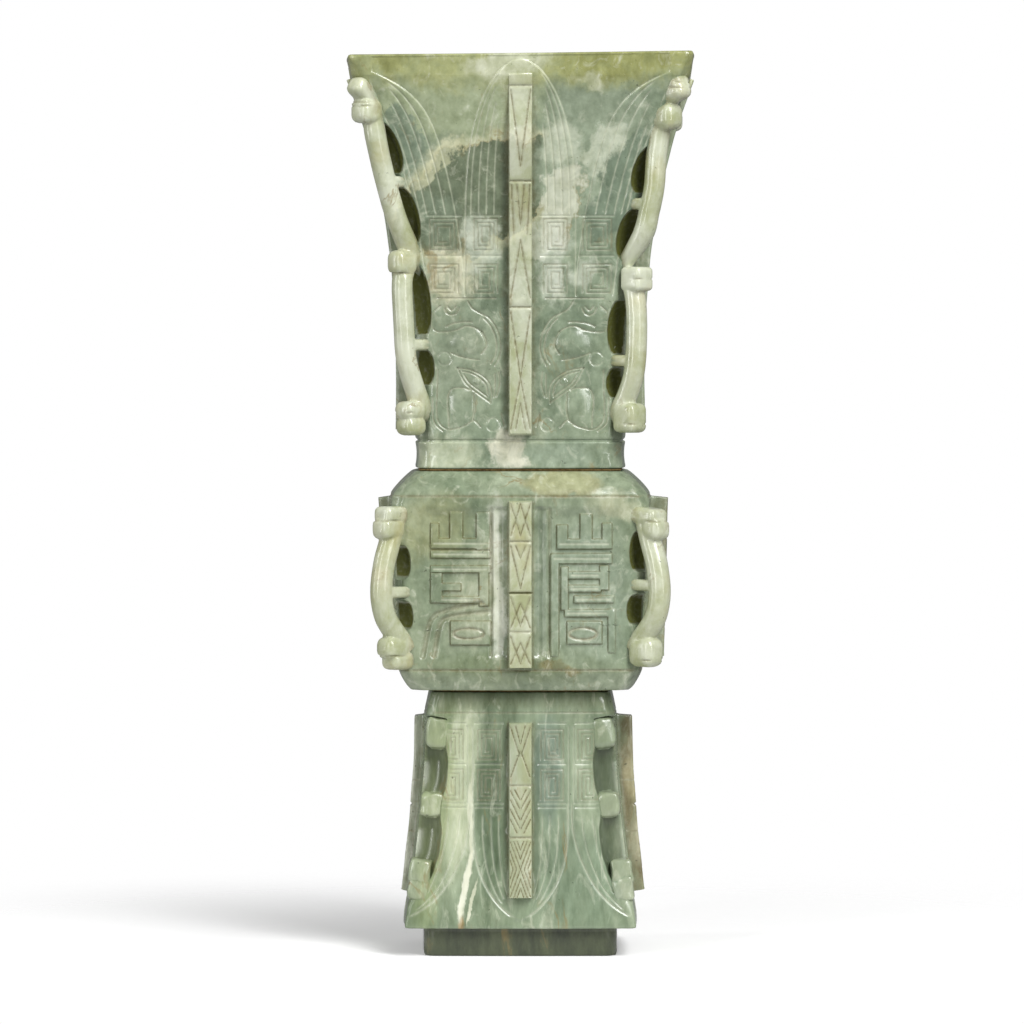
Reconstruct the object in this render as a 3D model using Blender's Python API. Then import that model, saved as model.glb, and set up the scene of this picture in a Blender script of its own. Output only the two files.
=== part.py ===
"""Jade gu vase: three carved nephrite blocks stacked on spigots and set in cement.

The trumpet with its neck, the knop and the foot with its plinth are one block of stone each.
The flanges, the dragon-headed corner loops and the broken loop stubs are carved from the same
stone as the block that carries them. Metres, +Z up, front towards -Y, origin under the plinth.
"""

import math

import bmesh
import bpy
from mathutils import Matrix, Vector

MM = 0.001

# Driving dimensions, in millimetres
DEPTH_RATIO = 0.80
LIP_HEIGHT = 300.0
LIP_DIP = 1.2
LIP_BAND = 6.0
PLINTH_HEIGHT = 9.7
FOOT_SHOULDER = 80.8
FOOT_TOP = 87.9
KNOP_UNDERSIDE = 88.8
KNOP_LOWER_EDGE = 95.8
KNOP_UPPER_EDGE = 152.9
KNOP_TOP = 161.5
NECK_BOTTOM = 162.4
NECK_TOP = 171.2
TRUMPET_BOTTOM = 172.0
FLARE_TOP = 292.0

# Half widths across the front
LIP_HALF = 56.7
FLARE_HALF = 55.6
NECK_HALF = 34.0
NECK_WAIST = 0.5
KNOP_HALF = 42.5
KNOP_LOWER_HALF = 39.8
KNOP_UNDERSIDE_HALF = 36.3
KNOP_TOP_HALF = 34.8
COLLAR_TOP_HALF = 29.8
COLLAR_HALF = 31.3
FOOT_HALF = 38.6
PLINTH_HALF = 32.0
FILLET_DEPTH = 0.8

# Canted corners and the gentle swell of each face
CANT = 3.5
SHARP_CANT = 0.8
HEAD_CANT = 4.0
OPENWORK_CUT = 2.2
FACE_SWELL = 1.4
KNOP_RECESS_CANT = 6.6
FOOT_RECESS_CANT = 7.0
FACE_STEPS = 4

# Hollows and the spigots that locate the blocks, as half width and half depth
LIP_WALL = 3.6
THROAT = (20.5, 14.0)
SPIGOT = (24.0, 17.2)
SPIGOT_BORE = (20.0, 13.2)
SPIGOT_END = 154.0
KNOP_MOUTH = (24.6, 17.8)
KNOP_HOLLOW = (33.0, 25.0)
KNOP_HOLLOW_TOP = 150.0
KNOP_FLOOR = 103.0
BOSS = (19.4, 13.4)
BOSS_END = 79.8
MORTISE = (20.0, 14.0)
MORTISE_FLOOR = 79.0
FOOT_RECESS = (24.0, 17.0)
FOOT_RECESS_TOP = 58.0
HOLLOW_CANT = 4.0

# Cement bed in each seam: a flat ring with a gap above and below it
CEMENT_GAP = 0.25
CEMENT_SETBACK = 0.7

# Flanges
FLANGE_WIDTH = 8.3
SIDE_FLANGE_WIDTH = 8.0
FLANGE_PROUD = 4.4
SIDE_PROUD = 6.5
FLANGE_ROOT = 0.6
FLANGE_NOTCH = 1.3
NOTCH_HALF = 0.7

# Loops: bars that stand off the canted corners
BAR_RADIUS = 3.5
BAR_SIDES = 8
BAR_STEPS = 2
SPUR_ROOT = -2.2
LEFT, RIGHT = "left", "right"
CORNERS = (
    (-1, -1, LEFT),
    (1, -1, RIGHT),
    (1, 1, LEFT),
    (-1, 1, RIGHT),
)


def lerp(a, b, t):
    return a + (b - a) * t


def ease(low, high, value):
    """Smooth step from 0 at low to 1 at high."""
    t = min(1.0, max(0.0, (value - low) / (high - low)))
    return t * t * (3.0 - 2.0 * t)


# Outlines of the three blocks: half width at a height


def trumpet_half(z):
    if z > FLARE_TOP:
        climb = (z - FLARE_TOP) / (LIP_HEIGHT - LIP_DIP - FLARE_TOP)
        return lerp(FLARE_HALF, LIP_HALF, min(1.0, climb))
    flare = max(0.0, (z - TRUMPET_BOTTOM) / (FLARE_TOP - TRUMPET_BOTTOM))
    return NECK_HALF + (FLARE_HALF - NECK_HALF) * flare**2.6


def knop_half(z):
    if z > KNOP_UPPER_EDGE:
        rise = (z - KNOP_UPPER_EDGE) / (KNOP_TOP - KNOP_UPPER_EDGE)
        return KNOP_HALF - (KNOP_HALF - KNOP_TOP_HALF) * rise**1.35
    if z > KNOP_LOWER_EDGE:
        climb = (z - KNOP_LOWER_EDGE) / (KNOP_UPPER_EDGE - KNOP_LOWER_EDGE)
        return lerp(KNOP_LOWER_HALF, KNOP_HALF, climb)
    drop = (KNOP_LOWER_EDGE - z) / (KNOP_LOWER_EDGE - KNOP_UNDERSIDE)
    return KNOP_LOWER_HALF - (KNOP_LOWER_HALF - KNOP_UNDERSIDE_HALF) * drop**1.4


def foot_half(z):
    if z > FOOT_SHOULDER:
        climb = (z - FOOT_SHOULDER) / (FOOT_TOP - FOOT_SHOULDER)
        return lerp(COLLAR_HALF, COLLAR_TOP_HALF, climb)
    fall = (FOOT_SHOULDER - z) / (FOOT_SHOULDER - PLINTH_HEIGHT)
    return COLLAR_HALF + (FOOT_HALF - COLLAR_HALF) * fall**1.6


# Corner cants: how much of each corner is cut away at a height


def trumpet_cant(z):
    rim = max(SHARP_CANT, HEAD_CANT * min(1.0, (LIP_HEIGHT - z) / 9.0) ** 0.7)
    behind_loops = ease(185.0, 195.0, z) * (1.0 - ease(266.0, 275.0, z))
    return rim + OPENWORK_CUT * behind_loops


def knop_cant(z):
    cut = ease(97.0, 104.0, z) * (1.0 - ease(146.0, 152.0, z))
    return lerp(CANT, KNOP_RECESS_CANT, cut)


def foot_cant(z):
    if z > FOOT_SHOULDER - 1.0:
        return 2.6
    bays = math.exp(-(((z - 61.0) / 7.0) ** 4)) + math.exp(-(((z - 38.0) / 7.0) ** 4))
    return lerp(SHARP_CANT, FOOT_RECESS_CANT, ease(16.0, 29.0, z)) + 1.1 * bays


# Meshes


def ring(half, depth, cant, z, swell=0.0, dip=0.0):
    """A rectangle with cut corners and swelling faces; dip lowers the middle of each face."""
    points = []
    for turn in range(4):
        along, out = (half, depth) if turn % 2 == 0 else (depth, half)
        cos, sin = ((1, 0), (0, 1), (-1, 0), (0, -1))[turn]
        for step in range(FACE_STEPS + 1):
            s = 2.0 * step / FACE_STEPS - 1.0
            crown = 1.0 - s * s
            x, y = s * (along - cant), -(out + swell * crown)
            points.append(Vector((cos * x - sin * y, sin * x + cos * y, z - dip * crown)))
    return points


def square_ring(size, z, cant=HOLLOW_CANT):
    return ring(size[0], size[1], cant, z)


def loft(rings, closed=False):
    """Quads between neighbouring rings; the ends are capped, or joined where closed."""
    bm = bmesh.new()
    loops = [[bm.verts.new(point * MM) for point in points] for points in rings]
    pairs = list(zip(loops, loops[1:]))
    if closed:
        pairs.append((loops[-1], loops[0]))
    for low, high in pairs:
        for i in range(len(low)):
            j = (i + 1) % len(low)
            bm.faces.new((low[i], low[j], high[j], high[i]))
    if not closed:
        bm.faces.new(list(reversed(loops[0])))
        bm.faces.new(loops[-1])
    bmesh.ops.recalc_face_normals(bm, faces=bm.faces)
    return bm


def add_object(name, bm, material=None, helper_of=None):
    mesh = bpy.data.meshes.new(name)
    bm.to_mesh(mesh)
    bm.free()
    mesh.shade_smooth()
    mesh.set_sharp_from_angle(angle=math.radians(35))
    obj = bpy.data.objects.new(name, mesh)
    if helper_of is None:
        bpy.context.scene.collection.objects.link(obj)
        mesh.materials.append(material)
    else:
        helper_of.objects.link(obj)
        obj.hide_render = True
        obj.display_type = "WIRE"
    return obj


def carve_together(block, carvings):
    """Joins the carvings to their block, as they are one piece of stone."""
    union = block.modifiers.new("carved_from_one_block", "BOOLEAN")
    union.operation = "UNION"
    union.operand_type = "COLLECTION"
    union.collection = carvings
    union.solver = "EXACT"


def new_carvings(name):
    collection = bpy.data.collections.new(name)
    collection.hide_render = True
    bpy.context.scene.collection.children.link(collection)
    return collection


def nephrite(name, colour, roughness):
    material = bpy.data.materials.new(name)
    material.use_nodes = True
    shader = material.node_tree.nodes["Principled BSDF"]
    shader.inputs["Base Color"].default_value = (*colour, 1.0)
    shader.inputs["Roughness"].default_value = roughness
    shader.inputs["Metallic"].default_value = 0.0
    return material


# Flanges


def flange(carvings, name, turn, face, width, stations):
    """A ridge up the middle of one face. Stations are (height, how far it stands proud)."""
    spin = Matrix.Rotation(turn * math.pi / 2.0, 3, "Z")
    rings = []
    for z, proud in stations:
        out = face(z)
        inner, outer = -(out - FLANGE_ROOT), -(out + proud)
        side = width / 2.0
        corners = ((-side, inner), (side, inner), (side, outer), (-side, outer))
        rings.append([spin @ Vector((x, y, z)) for x, y in corners])
    add_object(name, loft(rings), helper_of=carvings)


def notched(low, high, notches, proud, steps=6):
    """Heights up a flange with a shallow groove cut across it at each notch."""
    stations = [(lerp(low, high, i / steps), 0.0) for i in range(steps + 1)]
    stations = [s for s in stations if all(abs(s[0] - n) > 3.0 * NOTCH_HALF for n in notches)]
    for n in notches:
        stations += [(n - NOTCH_HALF, 0.0), (n, FLANGE_NOTCH), (n + NOTCH_HALF, 0.0)]
    return [(z, proud(z) - cut) for z, cut in sorted(stations)]


def four_flanges(carvings, name, half, front, right, left):
    """The same ridge on front and back, and one of its own on each side."""
    for turn, stations in enumerate((front, right, front, left)):
        broad = turn % 2 == 0
        scale = DEPTH_RATIO if broad else 1.0
        width = FLANGE_WIDTH if broad else SIDE_FLANGE_WIDTH
        flange(carvings, f"{name}_{turn}", turn, lambda z, k=scale: half(z) * k, width, stations)


# Corner loops


def corner_point(corner, half, stand_off, z):
    """A point on the vertical plane through one canted corner."""
    sx, sy, _ = corner
    reach = half(z) - CANT / 2.0 + stand_off
    depth = half(z) * DEPTH_RATIO - CANT / 2.0 + stand_off
    return Vector((sx * reach, sy * depth, z))


def catmull_rom(p, q, r, s, t):
    curve = (2 * p - 5 * q + 4 * r - s) * t**2 + (3 * q - p - 3 * r + s) * t**3
    return q + 0.5 * ((r - p) * t + curve)


def smooth_stations(stations):
    """Catmull-Rom stations through the few that shape a bar."""
    padded = [stations[0], *stations, stations[-1]]
    points = []
    for a, b, c, d in zip(padded, padded[1:], padded[2:], padded[3:]):
        for step in range(BAR_STEPS):
            t = step / BAR_STEPS
            points.append(tuple(catmull_rom(*values, t) for values in zip(a, b, c, d)))
    return [*points, stations[-1]]


def bar(carvings, name, corner, half, stations):
    """A tapering round bar that follows (height, stand-off, radius) stations down a corner."""
    path = smooth_stations(stations)
    centres = [corner_point(corner, half, off, z) for z, off, _ in path]
    across = Vector((-corner[1], corner[0], 0.0)).normalized()
    rings = []
    for i, (_, _, radius) in enumerate(path):
        along = (centres[min(i + 1, len(path) - 1)] - centres[max(i - 1, 0)]).normalized()
        out = along.cross(across)
        angles = [2.0 * math.pi * k / BAR_SIDES for k in range(BAR_SIDES)]
        rings.append([centres[i] + (across * math.cos(a) + out * math.sin(a)) * radius for a in angles])
    add_object(name, loft(rings), helper_of=carvings)


def lump(carvings, name, corner, half, z, stand_off, size, bevel, segments=2):
    """A rounded block set square to a corner. Size is (outwards, across, height)."""
    bm = bmesh.new()
    place = Matrix.Translation(corner_point(corner, half, stand_off, z) * MM)
    turn = Matrix.Rotation(math.atan2(corner[1], corner[0]), 4, "Z")
    shape = Matrix.Diagonal((size[0] * MM, size[1] * MM, size[2] * MM, 1.0))
    bmesh.ops.create_cube(bm, size=1.0, matrix=shape)
    bmesh.ops.bevel(
        bm, geom=bm.edges[:], offset=bevel * MM, segments=segments, profile=0.5, affect="EDGES"
    )
    bmesh.ops.transform(bm, matrix=place @ turn, verts=bm.verts)
    add_object(name, bm, helper_of=carvings)


def spur(carvings, name, corner, half, z, reach):
    """The hooked bridge between a bar and the corner: a short tie with an upright horn."""
    middle, length = (reach + SPUR_ROOT) / 2.0, math.sqrt(2.0) * (reach - SPUR_ROOT)
    lump(carvings, f"{name}_tie", corner, half, z, middle, (length, 4.4, 3.6), 0.6, 1)
    lump(carvings, f"{name}_horn", corner, half, z + 3.0, 0.4, (3.6, 4.2, 4.2), 0.5, 1)


# Blocks


def trumpet_section(stone):
    def outer(z, half=None):
        half = trumpet_half(z) if half is None else half
        return ring(half, half * DEPTH_RATIO, trumpet_cant(z), z, FACE_SWELL)

    def inner(z):
        t = ((z - TRUMPET_BOTTOM) / (LIP_HEIGHT - TRUMPET_BOTTOM)) ** 1.8
        half = lerp(THROAT[0], LIP_HALF - LIP_WALL, t)
        depth = lerp(THROAT[1], LIP_HALF * DEPTH_RATIO - LIP_WALL, t)
        return ring(half, depth, HOLLOW_CANT, z, FACE_SWELL * t)

    flare = [TRUMPET_BOTTOM + (LIP_HEIGHT - LIP_BAND - TRUMPET_BOTTOM) * i / 14 for i in range(15)]
    groove = NECK_HALF - FILLET_DEPTH
    lip_depth = LIP_HALF * DEPTH_RATIO
    lip_inside = (LIP_HALF - LIP_WALL, lip_depth - LIP_WALL)
    rings = [square_ring(SPIGOT, SPIGOT_END), square_ring(SPIGOT, NECK_BOTTOM)]
    rings.append(outer(NECK_BOTTOM, NECK_HALF))
    rings.append(outer(lerp(NECK_BOTTOM, NECK_TOP, 0.5), NECK_HALF - NECK_WAIST))
    rings.append(outer(NECK_TOP, NECK_HALF))
    rings += [outer(NECK_TOP, groove), outer(TRUMPET_BOTTOM, groove)]
    rings += [outer(z) for z in flare]
    rings.append(ring(LIP_HALF, lip_depth, SHARP_CANT, LIP_HEIGHT - 1.0, FACE_SWELL, LIP_DIP))
    rings.append(ring(LIP_HALF - 0.6, lip_depth - 0.6, SHARP_CANT, LIP_HEIGHT, FACE_SWELL, LIP_DIP))
    rings.append(ring(*lip_inside, HOLLOW_CANT, LIP_HEIGHT, FACE_SWELL, LIP_DIP))
    rings += [inner(lerp(LIP_HEIGHT - LIP_BAND, TRUMPET_BOTTOM, i / 9)) for i in range(10)]
    rings.append(square_ring(SPIGOT_BORE, SPIGOT_END))
    block = add_object("trumpet_section", loft(rings, closed=True), stone)

    carvings = new_carvings("trumpet_carvings")
    top = LIP_HEIGHT - LIP_BAND - 1.5

    def front_proud(z):
        return FACE_SWELL + FLANGE_PROUD * (1.0 - 0.75 * ease(270.0, top, z))

    def side_proud(z):
        climb = (z - TRUMPET_BOTTOM) / (FLARE_TOP - TRUMPET_BOTTOM)
        return FACE_SWELL + SIDE_PROUD * (1.0 - 0.8 * min(1.0, climb) ** 1.5)

    front = notched(TRUMPET_BOTTOM + 1.4, top, (215.8, 257.3, 288.5), front_proud, 9)
    side = notched(TRUMPET_BOTTOM + 2.5, top, (216.2,), side_proud, 9)
    four_flanges(carvings, "trumpet_flange", trumpet_half, front, side, side)

    # Height and stand-off down each bow. The right-hand bows sit a few millimetres lower
    upper = {
        LEFT: (
            (286.0, -2.8),
            (276.5, 1.5),
            (266.0, 3.6),
            (254.5, 4.1),
            (244.3, 3.2),
            (233.5, 0.0),
            (228.0, -3.0),
        ),
        RIGHT: (
            (284.0, -2.7),
            (274.5, -0.6),
            (265.4, 1.3),
            (255.8, 3.4),
            (247.2, 3.8),
            (239.0, 3.1),
            (226.5, -3.0),
        ),
    }
    lower = {
        LEFT: (
            (231.0, 1.8),
            (224.0, 4.4),
            (211.0, 5.2),
            (199.0, 5.1),
            (190.0, 3.0),
            (182.5, 0.4),
            (178.5, -2.0),
        ),
        RIGHT: (
            (225.0, 2.0),
            (217.0, 4.3),
            (206.0, 5.4),
            (195.0, 5.2),
            (187.0, 3.2),
            (181.0, 0.4),
            (178.0, -2.0),
        ),
    }
    brow_height = {LEFT: 286.6, RIGHT: 287.8}
    brow_reach = {LEFT: -0.1, RIGHT: -1.3}
    muzzle_height = {LEFT: 280.6, RIGHT: 279.0}
    muzzle_reach = {LEFT: 1.3, RIGHT: -0.2}
    knob_height = {LEFT: 230.6, RIGHT: 225.4}
    spur_height = {LEFT: (257.2, 203.4), RIGHT: (250.0, 198.2)}
    for i, corner in enumerate(CORNERS):
        hand = corner[2]
        for part, stations in (("upper", upper[hand]), ("lower", lower[hand])):
            radii = [BAR_RADIUS * (0.6 if off < -1.0 else 1.0) for _, off in stations]
            shape = [(z, off, r) for (z, off), r in zip(stations, radii)]
            bar(carvings, f"trumpet_bar_{part}_{i}", corner, trumpet_half, shape)
        lumps = (
            ("brow", brow_height[hand], brow_reach[hand], (9.5, 7.6, 8.0), 2.2),
            ("muzzle", muzzle_height[hand], muzzle_reach[hand], (9.0, 7.8, 7.2), 2.4),
            ("knob", knob_height[hand], 3.5, (9.0, 7.4, 7.8), 2.4),
            ("tail", 179.0, 4.0, (9.6, 8.2, 9.6), 2.6),
        )
        for part, z, stand_off, size, bevel in lumps:
            lump(carvings, f"trumpet_{part}_{i}", corner, trumpet_half, z, stand_off, size, bevel)
        for k, z in enumerate(spur_height[hand]):
            spur(carvings, f"trumpet_spur_{k}_{i}", corner, trumpet_half, z, 4.8)
    carve_together(block, carvings)


def knop_section(stone):
    def outer(z):
        half = knop_half(z)
        return ring(half, half * DEPTH_RATIO, knop_cant(z), z, FACE_SWELL)

    underside = [lerp(KNOP_UNDERSIDE, KNOP_LOWER_EDGE, i / 3) for i in range(4)]
    waist = [99.0, 102.0, 106.0, 125.0, 145.0, 149.0, KNOP_UPPER_EDGE]
    shoulder = [lerp(KNOP_UPPER_EDGE, KNOP_TOP, i / 5) for i in range(1, 6)]
    rings = [square_ring(BOSS, BOSS_END), square_ring(BOSS, KNOP_UNDERSIDE)]
    rings += [outer(z) for z in underside + waist + shoulder]
    rings += [square_ring(KNOP_MOUTH, KNOP_TOP), square_ring(KNOP_MOUTH, SPIGOT_END)]
    rings += [square_ring(KNOP_HOLLOW, KNOP_HOLLOW_TOP, 2 * HOLLOW_CANT)]
    rings += [square_ring(KNOP_HOLLOW, KNOP_FLOOR + 5.0, 2 * HOLLOW_CANT)]
    rings += [square_ring((KNOP_HOLLOW[0] - 4.0, KNOP_HOLLOW[1] - 4.0), KNOP_FLOOR, 2 * HOLLOW_CANT)]
    block = add_object("knop_section", loft(rings), stone)

    carvings = new_carvings("knop_carvings")
    front = notched(96.2, 151.9, (108.6, 121.5, 138.5), lambda z: FACE_SWELL + FLANGE_PROUD, 4)
    right = notched(98.2, 152.6, (125.0,), lambda z: FACE_SWELL + lerp(7.0, 5.8, (z - 98.2) / 54.4), 4)
    left = notched(98.2, 152.6, (125.0,), lambda z: FACE_SWELL + 3.9, 4)
    four_flanges(carvings, "knop_flange", knop_half, front, right, left)

    bow = (
        (146.0, 1.0),
        (138.0, 3.2),
        (131.0, 5.3),
        (122.0, 6.7),
        (114.5, 6.0),
        (109.5, 3.8),
        (103.0, -0.5),
    )
    spur_height = {LEFT: 121.6, RIGHT: 124.6}
    for i, corner in enumerate(CORNERS):
        shape = [(z, off, BAR_RADIUS + 0.2) for z, off in bow]
        bar(carvings, f"knop_bar_{i}", corner, knop_half, shape)
        lumps = (
            ("brow", 147.2, 2.2, (10.0, 8.0, 5.2), 2.0),
            ("muzzle", 142.8, 3.4, (9.6, 8.0, 5.8), 2.2),
            ("curl", 103.2, 4.0, (9.8, 8.0, 6.2), 2.4),
            ("tail", 98.9, 2.4, (9.6, 8.0, 4.8), 2.0),
        )
        for part, z, stand_off, size, bevel in lumps:
            lump(carvings, f"knop_{part}_{i}", corner, knop_half, z, stand_off, size, bevel)
        spur(carvings, f"knop_spur_{i}", corner, knop_half, spur_height[corner[2]], 5.6)
    carve_together(block, carvings)


def foot_section(stone):
    def outer(z):
        half = foot_half(z)
        return ring(half, half * DEPTH_RATIO, foot_cant(z), z, FACE_SWELL * 0.7)

    plinth = (PLINTH_HALF, PLINTH_HALF * DEPTH_RATIO)
    body = [PLINTH_HEIGHT + 6.0 + (FOOT_SHOULDER - 1.2 - PLINTH_HEIGHT - 6.0) * i / 14 for i in range(15)]
    rings = [square_ring(MORTISE, MORTISE_FLOOR), square_ring(MORTISE, FOOT_TOP)]
    rings += [outer(z) for z in (FOOT_TOP, FOOT_SHOULDER, FOOT_SHOULDER - 0.9)]
    rings += [outer(z) for z in reversed(body)]
    rings += [outer(PLINTH_HEIGHT)]
    rings += [ring(*plinth, 2.2, PLINTH_HEIGHT, 0.6), ring(*plinth, 2.2, 0.5, 0.6)]
    rings += [ring(plinth[0] - 0.5, plinth[1] - 0.5, 2.2, 0.0, 0.6)]
    rings += [square_ring(FOOT_RECESS, 0.0), square_ring(FOOT_RECESS, FOOT_RECESS_TOP - 4.0)]
    rings += [square_ring((FOOT_RECESS[0] - 4.0, FOOT_RECESS[1] - 4.0), FOOT_RECESS_TOP)]
    block = add_object("foot_section", loft(rings), stone)

    carvings = new_carvings("foot_carvings")
    swell = FACE_SWELL * 0.7
    front = notched(19.7, 78.2, (40.0, 57.2), lambda z: swell + FLANGE_PROUD - 0.6, 4)
    right = notched(19.7, 79.2, (49.0,), lambda z: swell + lerp(4.0, 5.3, (z - 19.7) / 59.5), 4)
    left = notched(19.7, 79.2, (49.0,), lambda z: swell + lerp(2.2, 3.2, (z - 19.7) / 59.5), 4)
    four_flanges(carvings, "foot_flange", foot_half, front, right, left)

    for i, corner in enumerate(CORNERS):
        stubs = (
            ("top", 74.0, -2.0, (7.4, 6.2, 9.6), 0.8),
            ("middle", 49.6, -1.8, (7.4, 6.2, 7.6), 0.8),
            ("bottom", 27.4, -0.6, (7.8, 6.2, 6.4), 1.0),
            ("toe", 21.4, -0.4, (6.6, 6.0, 4.6), 1.3),
        )
        for part, z, stand_off, size, bevel in stubs:
            name = f"foot_stub_{part}_{i}"
            lump(carvings, name, corner, foot_half, z, stand_off, size, bevel, segments=1)
    carve_together(block, carvings)


def cement_bed(name, low, high, socket, half, cement):
    """The set cement in one seam: a flat ring round a spigot, set back from the outer edge."""
    hole = (socket[0] + CEMENT_GAP, socket[1] + CEMENT_GAP)
    width, depth = half - CEMENT_SETBACK, half * DEPTH_RATIO - CEMENT_SETBACK
    bottom, top = low + CEMENT_GAP, high - CEMENT_GAP
    rings = [square_ring(hole, bottom), ring(width, depth, CANT, bottom, FACE_SWELL * 0.7)]
    rings += [ring(width, depth, CANT, top, FACE_SWELL * 0.7), square_ring(hole, top)]
    add_object(name, loft(rings, closed=True), cement)


def main():
    for obj in list(bpy.data.objects):
        bpy.data.objects.remove(obj, do_unlink=True)
    jade = nephrite("polished_nephrite", (0.36, 0.42, 0.27), 0.24)
    cement = nephrite("brown_cement", (0.10, 0.055, 0.022), 0.7)
    trumpet_section(jade)
    knop_section(jade)
    foot_section(jade)
    cement_bed("upper_joint_cement", KNOP_TOP, NECK_BOTTOM, KNOP_MOUTH, NECK_HALF, cement)
    cement_bed("lower_joint_cement", FOOT_TOP, KNOP_UNDERSIDE, MORTISE, COLLAR_TOP_HALF, cement)


main()
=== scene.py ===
import math

import bpy
import numpy as np
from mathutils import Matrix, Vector


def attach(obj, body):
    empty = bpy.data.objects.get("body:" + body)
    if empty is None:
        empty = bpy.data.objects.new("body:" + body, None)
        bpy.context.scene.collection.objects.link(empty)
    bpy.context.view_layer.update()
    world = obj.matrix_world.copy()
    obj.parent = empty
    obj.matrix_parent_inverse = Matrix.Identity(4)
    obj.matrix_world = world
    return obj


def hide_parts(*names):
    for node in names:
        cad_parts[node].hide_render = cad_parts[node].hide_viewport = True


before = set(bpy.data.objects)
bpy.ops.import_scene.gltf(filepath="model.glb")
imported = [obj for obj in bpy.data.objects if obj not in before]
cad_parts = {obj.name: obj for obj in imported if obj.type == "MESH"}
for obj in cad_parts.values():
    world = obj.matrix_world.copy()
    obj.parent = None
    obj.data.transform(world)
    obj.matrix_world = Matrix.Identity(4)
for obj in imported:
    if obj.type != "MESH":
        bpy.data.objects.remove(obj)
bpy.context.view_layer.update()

MM = 0.001

# Heights and half widths of the blocks
DEPTH_RATIO = 0.80
LIP_HEIGHT = 300.0
LIP_DIP = 0.2
LIP_SLANT = 1.3
LIP_BAND = 6.0
LIP_ROUND = 1.0
LIP_TOP_BAND = 1.2
PLINTH_HEIGHT = 9.7
FOOT_SHOULDER = 80.8
FOOT_TOP = 87.9
KNOP_UNDERSIDE = 88.8
KNOP_LOWER_EDGE = 95.8
KNOP_UPPER_EDGE = 152.9
KNOP_TOP = 161.5
NECK_BOTTOM = 162.4
NECK_TOP = 171.2
TRUMPET_BOTTOM = 172.0
FLARE_TOP = 292.0
LIP_HALF = 56.7
FLARE_HALF = 55.6
NECK_HALF = 34.0
NECK_WAIST = 0.5
KNOP_HALF = 42.5
KNOP_LOWER_HALF = 39.8
KNOP_UNDERSIDE_HALF = 36.3
KNOP_TOP_HALF = 34.8
COLLAR_TOP_HALF = 29.8
COLLAR_HALF = 31.3
FOOT_HALF = 38.6
PLINTH_HALF = 32.0
# Painted shade on the plinth, under the overhang of the foot, given as a negative thin value
PLINTH_SHADE = -0.95
FILLET_DEPTH = 0.8
CANT = 3.5
SHARP_CANT = 0.8
HEAD_CANT = 4.0
FACE_SWELL = 1.4
FOOT_SWELL = 0.98
KNOP_WEB_CANT = 2.4
BAY_HOLLOW = 0.3
FOOT_RECESS_CANT = 7.0
COLLAR_CANT = 2.6
PLINTH_CANT = 2.2
PLINTH_SWELL = 0.6
EDGE_ROUND = 0.4

# Hollows and spigots, as half width and half depth
LIP_WALL = 3.6
THROAT = (20.5, 14.0)
SPIGOT = (24.0, 17.2)
SPIGOT_BORE = (20.0, 13.2)
SPIGOT_END = 154.0
KNOP_MOUTH = (24.6, 17.8)
KNOP_HOLLOW = (33.0, 25.0)
KNOP_HOLLOW_TOP = 150.0
KNOP_FLOOR = 103.0
BOSS = (19.4, 13.4)
BOSS_END = 79.8
MORTISE = (20.0, 14.0)
MORTISE_FLOOR = 79.0
FOOT_RECESS = (24.0, 17.0)
FOOT_RECESS_TOP = 58.0
HOLLOW_CANT = 4.0

# Flanges and the openwork loops on the corners
FLANGE_HALF = 3.8
NOTCH_HALF = 0.6
# Bottom and top of the flanges, on the broad faces and on the sides
TRUMPET_FLANGE, TRUMPET_SIDE_FLANGE = (173.4, 292.5), (174.5, 292.5)
KNOP_FLANGE, KNOP_SIDE_FLANGE = (96.2, 151.9), (98.2, 152.6)
FOOT_FLANGE, FOOT_SIDE_FLANGE = (19.7, 78.2), (19.7, 79.2)
FLANGE_PROUD = 4.4
FOOT_FLANGE_PROUD = 3.8
# Cross grooves of the flanges: height and depth
TRUMPET_NOTCHES = ((215.8, 0.5), (257.3, 0.55), (288.5, 0.25))
KNOP_NOTCHES = ((108.6, 0.3), (121.5, 1.0), (138.5, 0.45))
FOOT_NOTCHES = ((40.0, 0.5), (57.2, 0.3))
TRUMPET_SIDE_NOTCHES = ((216.2, 1.2),)
KNOP_SIDE_NOTCHES = ((125.0, 0.8),)
FOOT_SIDE_NOTCHES = ((49.0, 0.8),)
BAR_RADIUS = 3.5
SPUR_ROOT = -5.0
SPUR_WIDTH = 6.6
SPUR_HEIGHT = 3.8
HORN = (3.0, 5.6, 5.6)
SLOT_HALF = 0.3
SLOT_DEPTH = 0.35
SLOT_DIRT = 0.62
ROOT_DIRT_AND_SHADE = 0.5
STUB_LEAN = 7.0
STUB_WEAR = 1.4
LEFT, RIGHT = -1, 1
RIGHT_TURN = 1
# Bays ground out of the corners behind the loops: top, bottom, depth
TRUMPET_BAYS = {
    LEFT: ((276.8, 260.0, 2.8), (255.2, 236.8, 2.8), (229.2, 206.8, 2.2), (201.6, 190.0, 2.0)),
    RIGHT: ((269.2, 253.6, 3.2), (248.2, 231.2, 3.2), (218.2, 200.4, 2.4), (195.8, 185.8, 2.0)),
}
KNOP_BAYS = {
    LEFT: ((137.2, 125.8, 2.9), (118.8, 108.8, 2.9)),
    RIGHT: ((142.2, 128.4, 3.4), (121.0, 110.6, 3.4)),
}
FOOT_BAYS = (61.0, 38.0)
FOOT_BAY_HALF = 7.0
FOOT_BAY_DEPTH = 1.1
# Corners as signs of x and y, and which hand's loop each one has
CORNERS = ((-1, -1, LEFT), (1, -1, RIGHT), (1, 1, LEFT), (-1, 1, RIGHT))

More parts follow.
